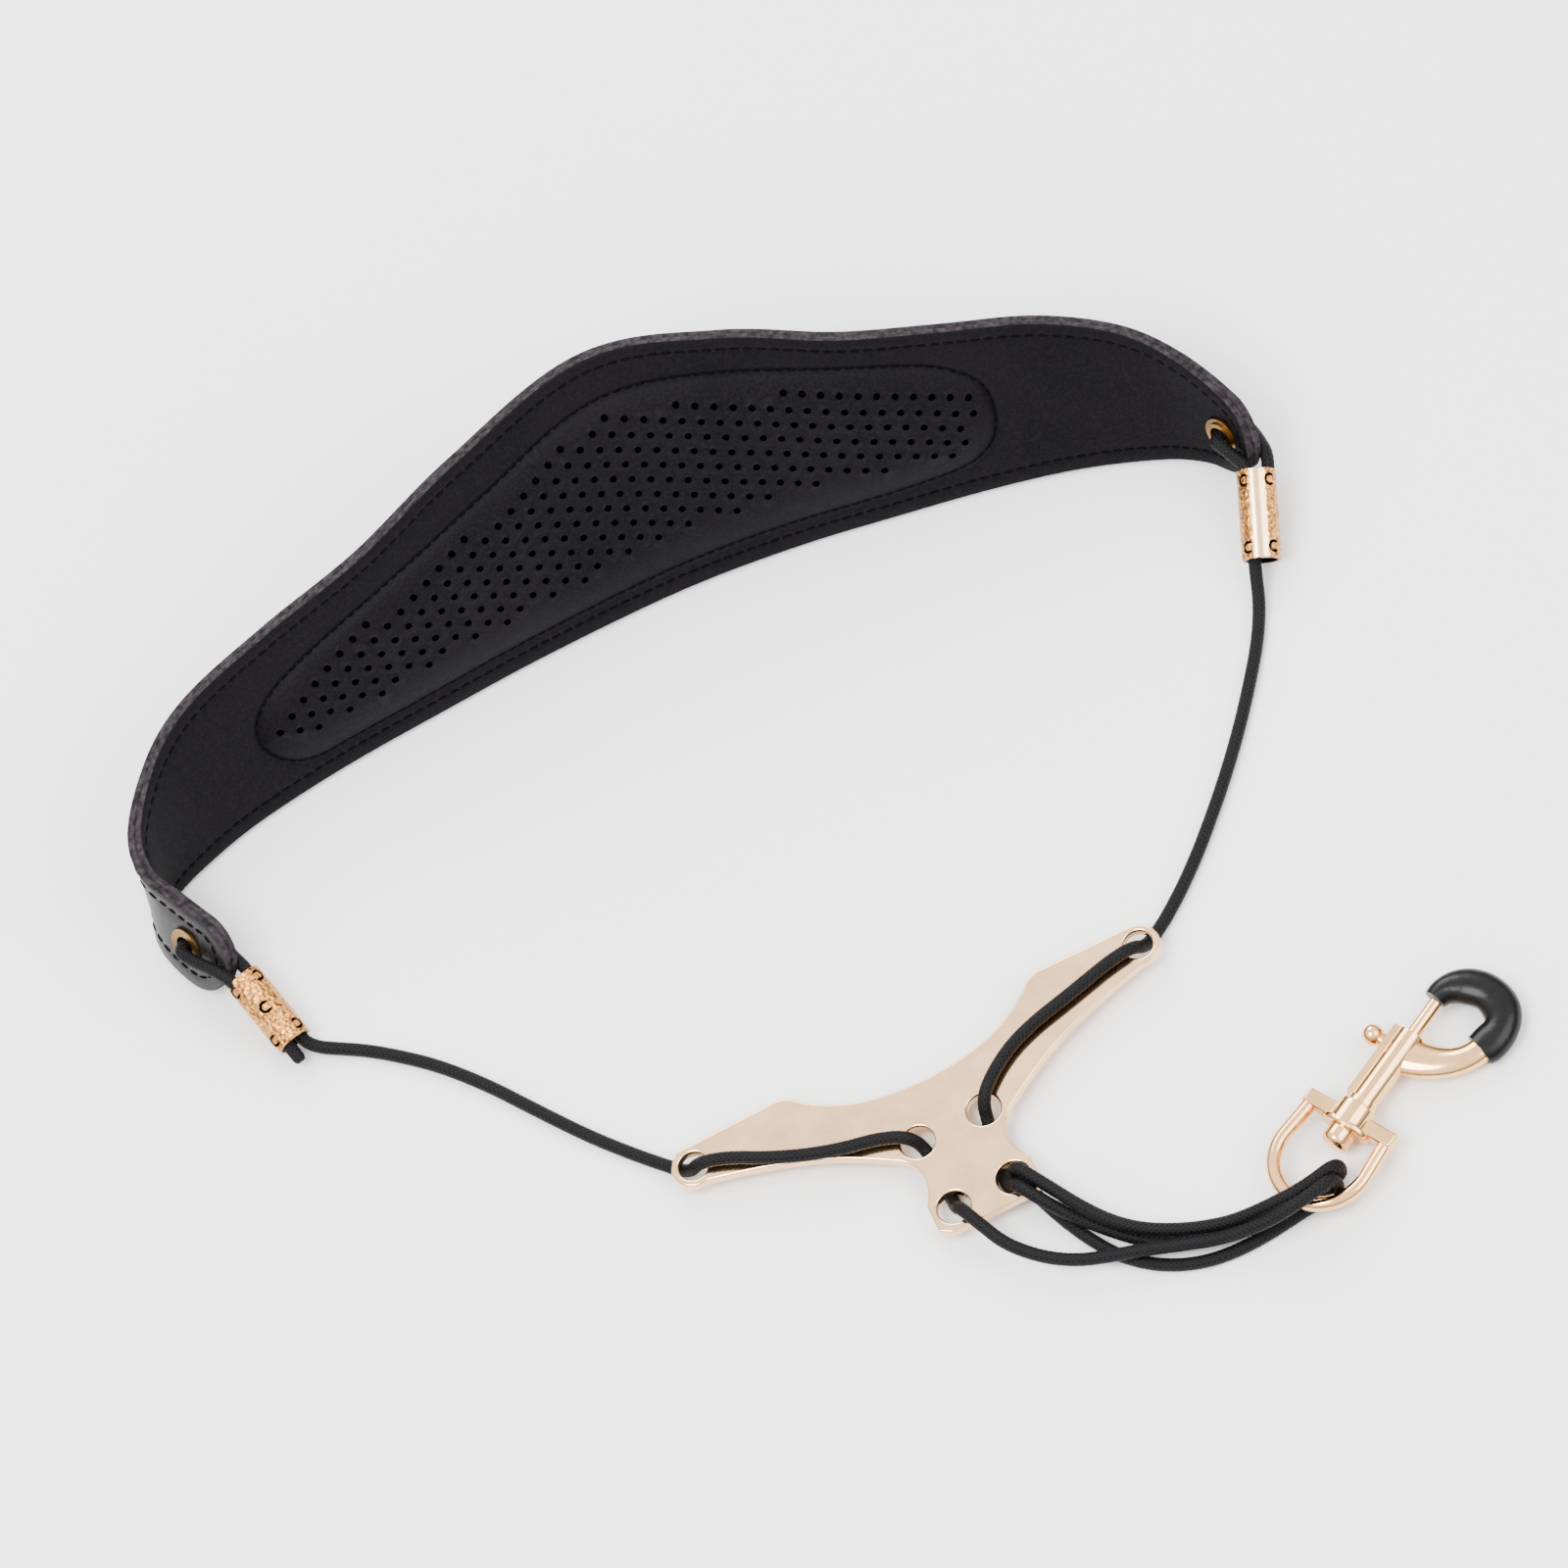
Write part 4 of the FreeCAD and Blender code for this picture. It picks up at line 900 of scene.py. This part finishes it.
# ================================================================= the object
def dress_band():
    """The two leathers, the perforated pad with its foam, and the seams."""
    face = leather_material("inner_leather_face", (15, 14, 16), (24, 22, 25), 0.55, 0.06)
    # A darker copy of the neck-face leather for the hole walls: painted shade inside the perforations.
    hole_wall_shade = leather_material("hole_wall_shade", (6, 6, 7), (10, 10, 11), 0.8, 0.02)
    back = leather_material("outer_leather_face", (26, 25, 26), (36, 34, 35), 0.38, 0.24, grain=0.03)
    edge = cut_edge_material()
    thread = thread_material()
    inner_lift = -(SEAM_GAP + INNER_THICK)
    outer_lift = SEAM_GAP + OUTER_THICK
    outline = band_outline(EDGE_SEAM_INSET, 1.0)

    def flat(sw):
        return np.zeros(len(sw))

    outer = make_leather_layer("outer_leather_sheet", 1, outer_lift, SEAM_GAP, flat, [back, edge])
    inner = make_leather_layer("inner_leather_sheet", -1, inner_lift, -SEAM_GAP, pad_lift, [face, edge],
                               hollow=PAD_RING)
    pad = make_pad([face, hole_wall_shade])
    foam = make_foam(foam_material())
    seams = [
        make_stitches("edge_stitches_neck_side", outline, inner_lift + STITCH_SINK, EDGE_SEAM_PITCH, thread),
        make_stitches("edge_stitches_outer_side", outline, outer_lift - STITCH_SINK, EDGE_SEAM_PITCH, thread),
        make_stitches("pad_stitches", PAD_RING, inner_lift + GROOVE_DEPTH - PAD_STITCH_SINK, PAD_SEAM_PITCH,
                      thread)]
    for obj in [outer, inner, pad, foam] + seams:
        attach(obj, "strap")
    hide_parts("outer_leather")
    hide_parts("inner_leather")
    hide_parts("pad_foam")


def dress_metal():
    """Finishes of the CAD pieces that are shown as they are."""
    plate = metal_material("plate_rose_gold", (254, 208, 160), 0.1, 0.02, 60.0)
    casting = metal_material("casting_rose_gold", (253, 198, 136), 0.12, 0.05, 190.0)
    brass = metal_material("antique_brass", (150, 116, 70), 0.3, 0.03, 500.0, tint=(96, 72, 44))
    spring = metal_material("spring_wire", (190, 190, 192), 0.25, 0.01, 800.0)
    looks = {"yoke_plate": plate, "d_ring": casting, "hook_body": casting, "gate_bolt": casting,
             "thumb_knob": casting, "gate_spring": spring, "tab_eyelets": brass, "eyelet_washers": brass,
             "hook_cover": coating_material(), "left_bead": bead_material("left_bead"),
             "right_bead": bead_material("right_bead")}
    for name, material in looks.items():
        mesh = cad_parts[name].data
        mesh.materials.clear()
        mesh.materials.append(material)


def dress_cords():
    """The six lengths of the cord; only the left end's cut shows."""
    material = cord_material()
    for name, route in CORD_ROUTES.items():
        make_cord(name, route, material, name == "cord_left_loop")


# ================================================================= floor, light and camera
def make_floor():
    """Plain pale table."""
    bpy.ops.mesh.primitive_plane_add(size=6.0, location=(0, 0, 0))
    floor = bpy.context.object
    floor.name = "floor"
    material, tree, shader = nodes_of("floor_white")
    shader.inputs["Base Color"].default_value = (0.95, 0.95, 0.95, 1)
    shader.inputs["Roughness"].default_value = 0.9
    floor.data.materials.append(material)


def add_area_light(name, place, size, power):
    """Round lamp that points at the middle of the strap."""
    light = bpy.data.lights.new(name, "AREA")
    light.shape = "DISK"
    light.size = size
    light.energy = power
    obj = bpy.data.objects.new(name, light)
    obj.location = place
    obj.rotation_euler = (Vector((0, 0, 0)) - Vector(place)).to_track_quat("-Z", "Y").to_euler()
    bpy.context.collection.objects.link(obj)


def make_light():
    """Bright sky that darkens towards the horizon, and three lamps."""
    world = bpy.data.worlds.new("studio")
    world.use_nodes = True
    tree = world.node_tree
    split = tree.nodes.new("ShaderNodeSeparateXYZ")
    link(tree, place_output(tree, "Generated"), split.inputs[0])
    sky = ramp(tree, split.outputs["Z"], [(place, (grey, grey, grey, 1)) for place, grey in SKY_GREYS])
    background = tree.nodes["Background"]
    link(tree, sky.outputs["Color"], background.inputs["Color"])
    background.inputs["Strength"].default_value = WORLD_STRENGTH
    bpy.context.scene.world = world
    add_area_light("key", (-0.5, -0.3, 1.3), 0.8, 26)
    add_area_light("fill", (0.9, -0.6, 1.0), 1.0, 13)
    add_area_light("back", (0.1, 1.0, 0.9), 0.8, 13)


def make_camera():
    """Far camera that looks down at the strap and is turned about its own axis."""
    down = math.radians(VIEW_DOWN)
    roll = math.radians(VIEW_ROLL)
    forward = Vector((0, math.cos(down), -math.sin(down)))
    up = Vector((0, math.sin(down), math.cos(down)))
    right = Vector((1, 0, 0))
    image_right = right * math.cos(roll) - up * math.sin(roll)
    image_up = right * math.sin(roll) + up * math.cos(roll)
    distance_back = VIEW_WIDTH * MM * LENS / SENSOR
    camera = bpy.data.cameras.new("camera")
    camera.lens = LENS
    camera.sensor_width = SENSOR
    camera.clip_end = 50.0
    obj = bpy.data.objects.new("camera", camera)
    turn = Matrix((image_right, image_up, -forward)).transposed().to_4x4()
    obj.matrix_world = Matrix.Translation(Vector(VIEW_MIDDLE) * MM - forward * distance_back) @ turn
    bpy.context.collection.objects.link(obj)
    bpy.context.scene.camera = obj


make_camera()
make_light()
make_floor()
dress_metal()
dress_cords()
dress_band()
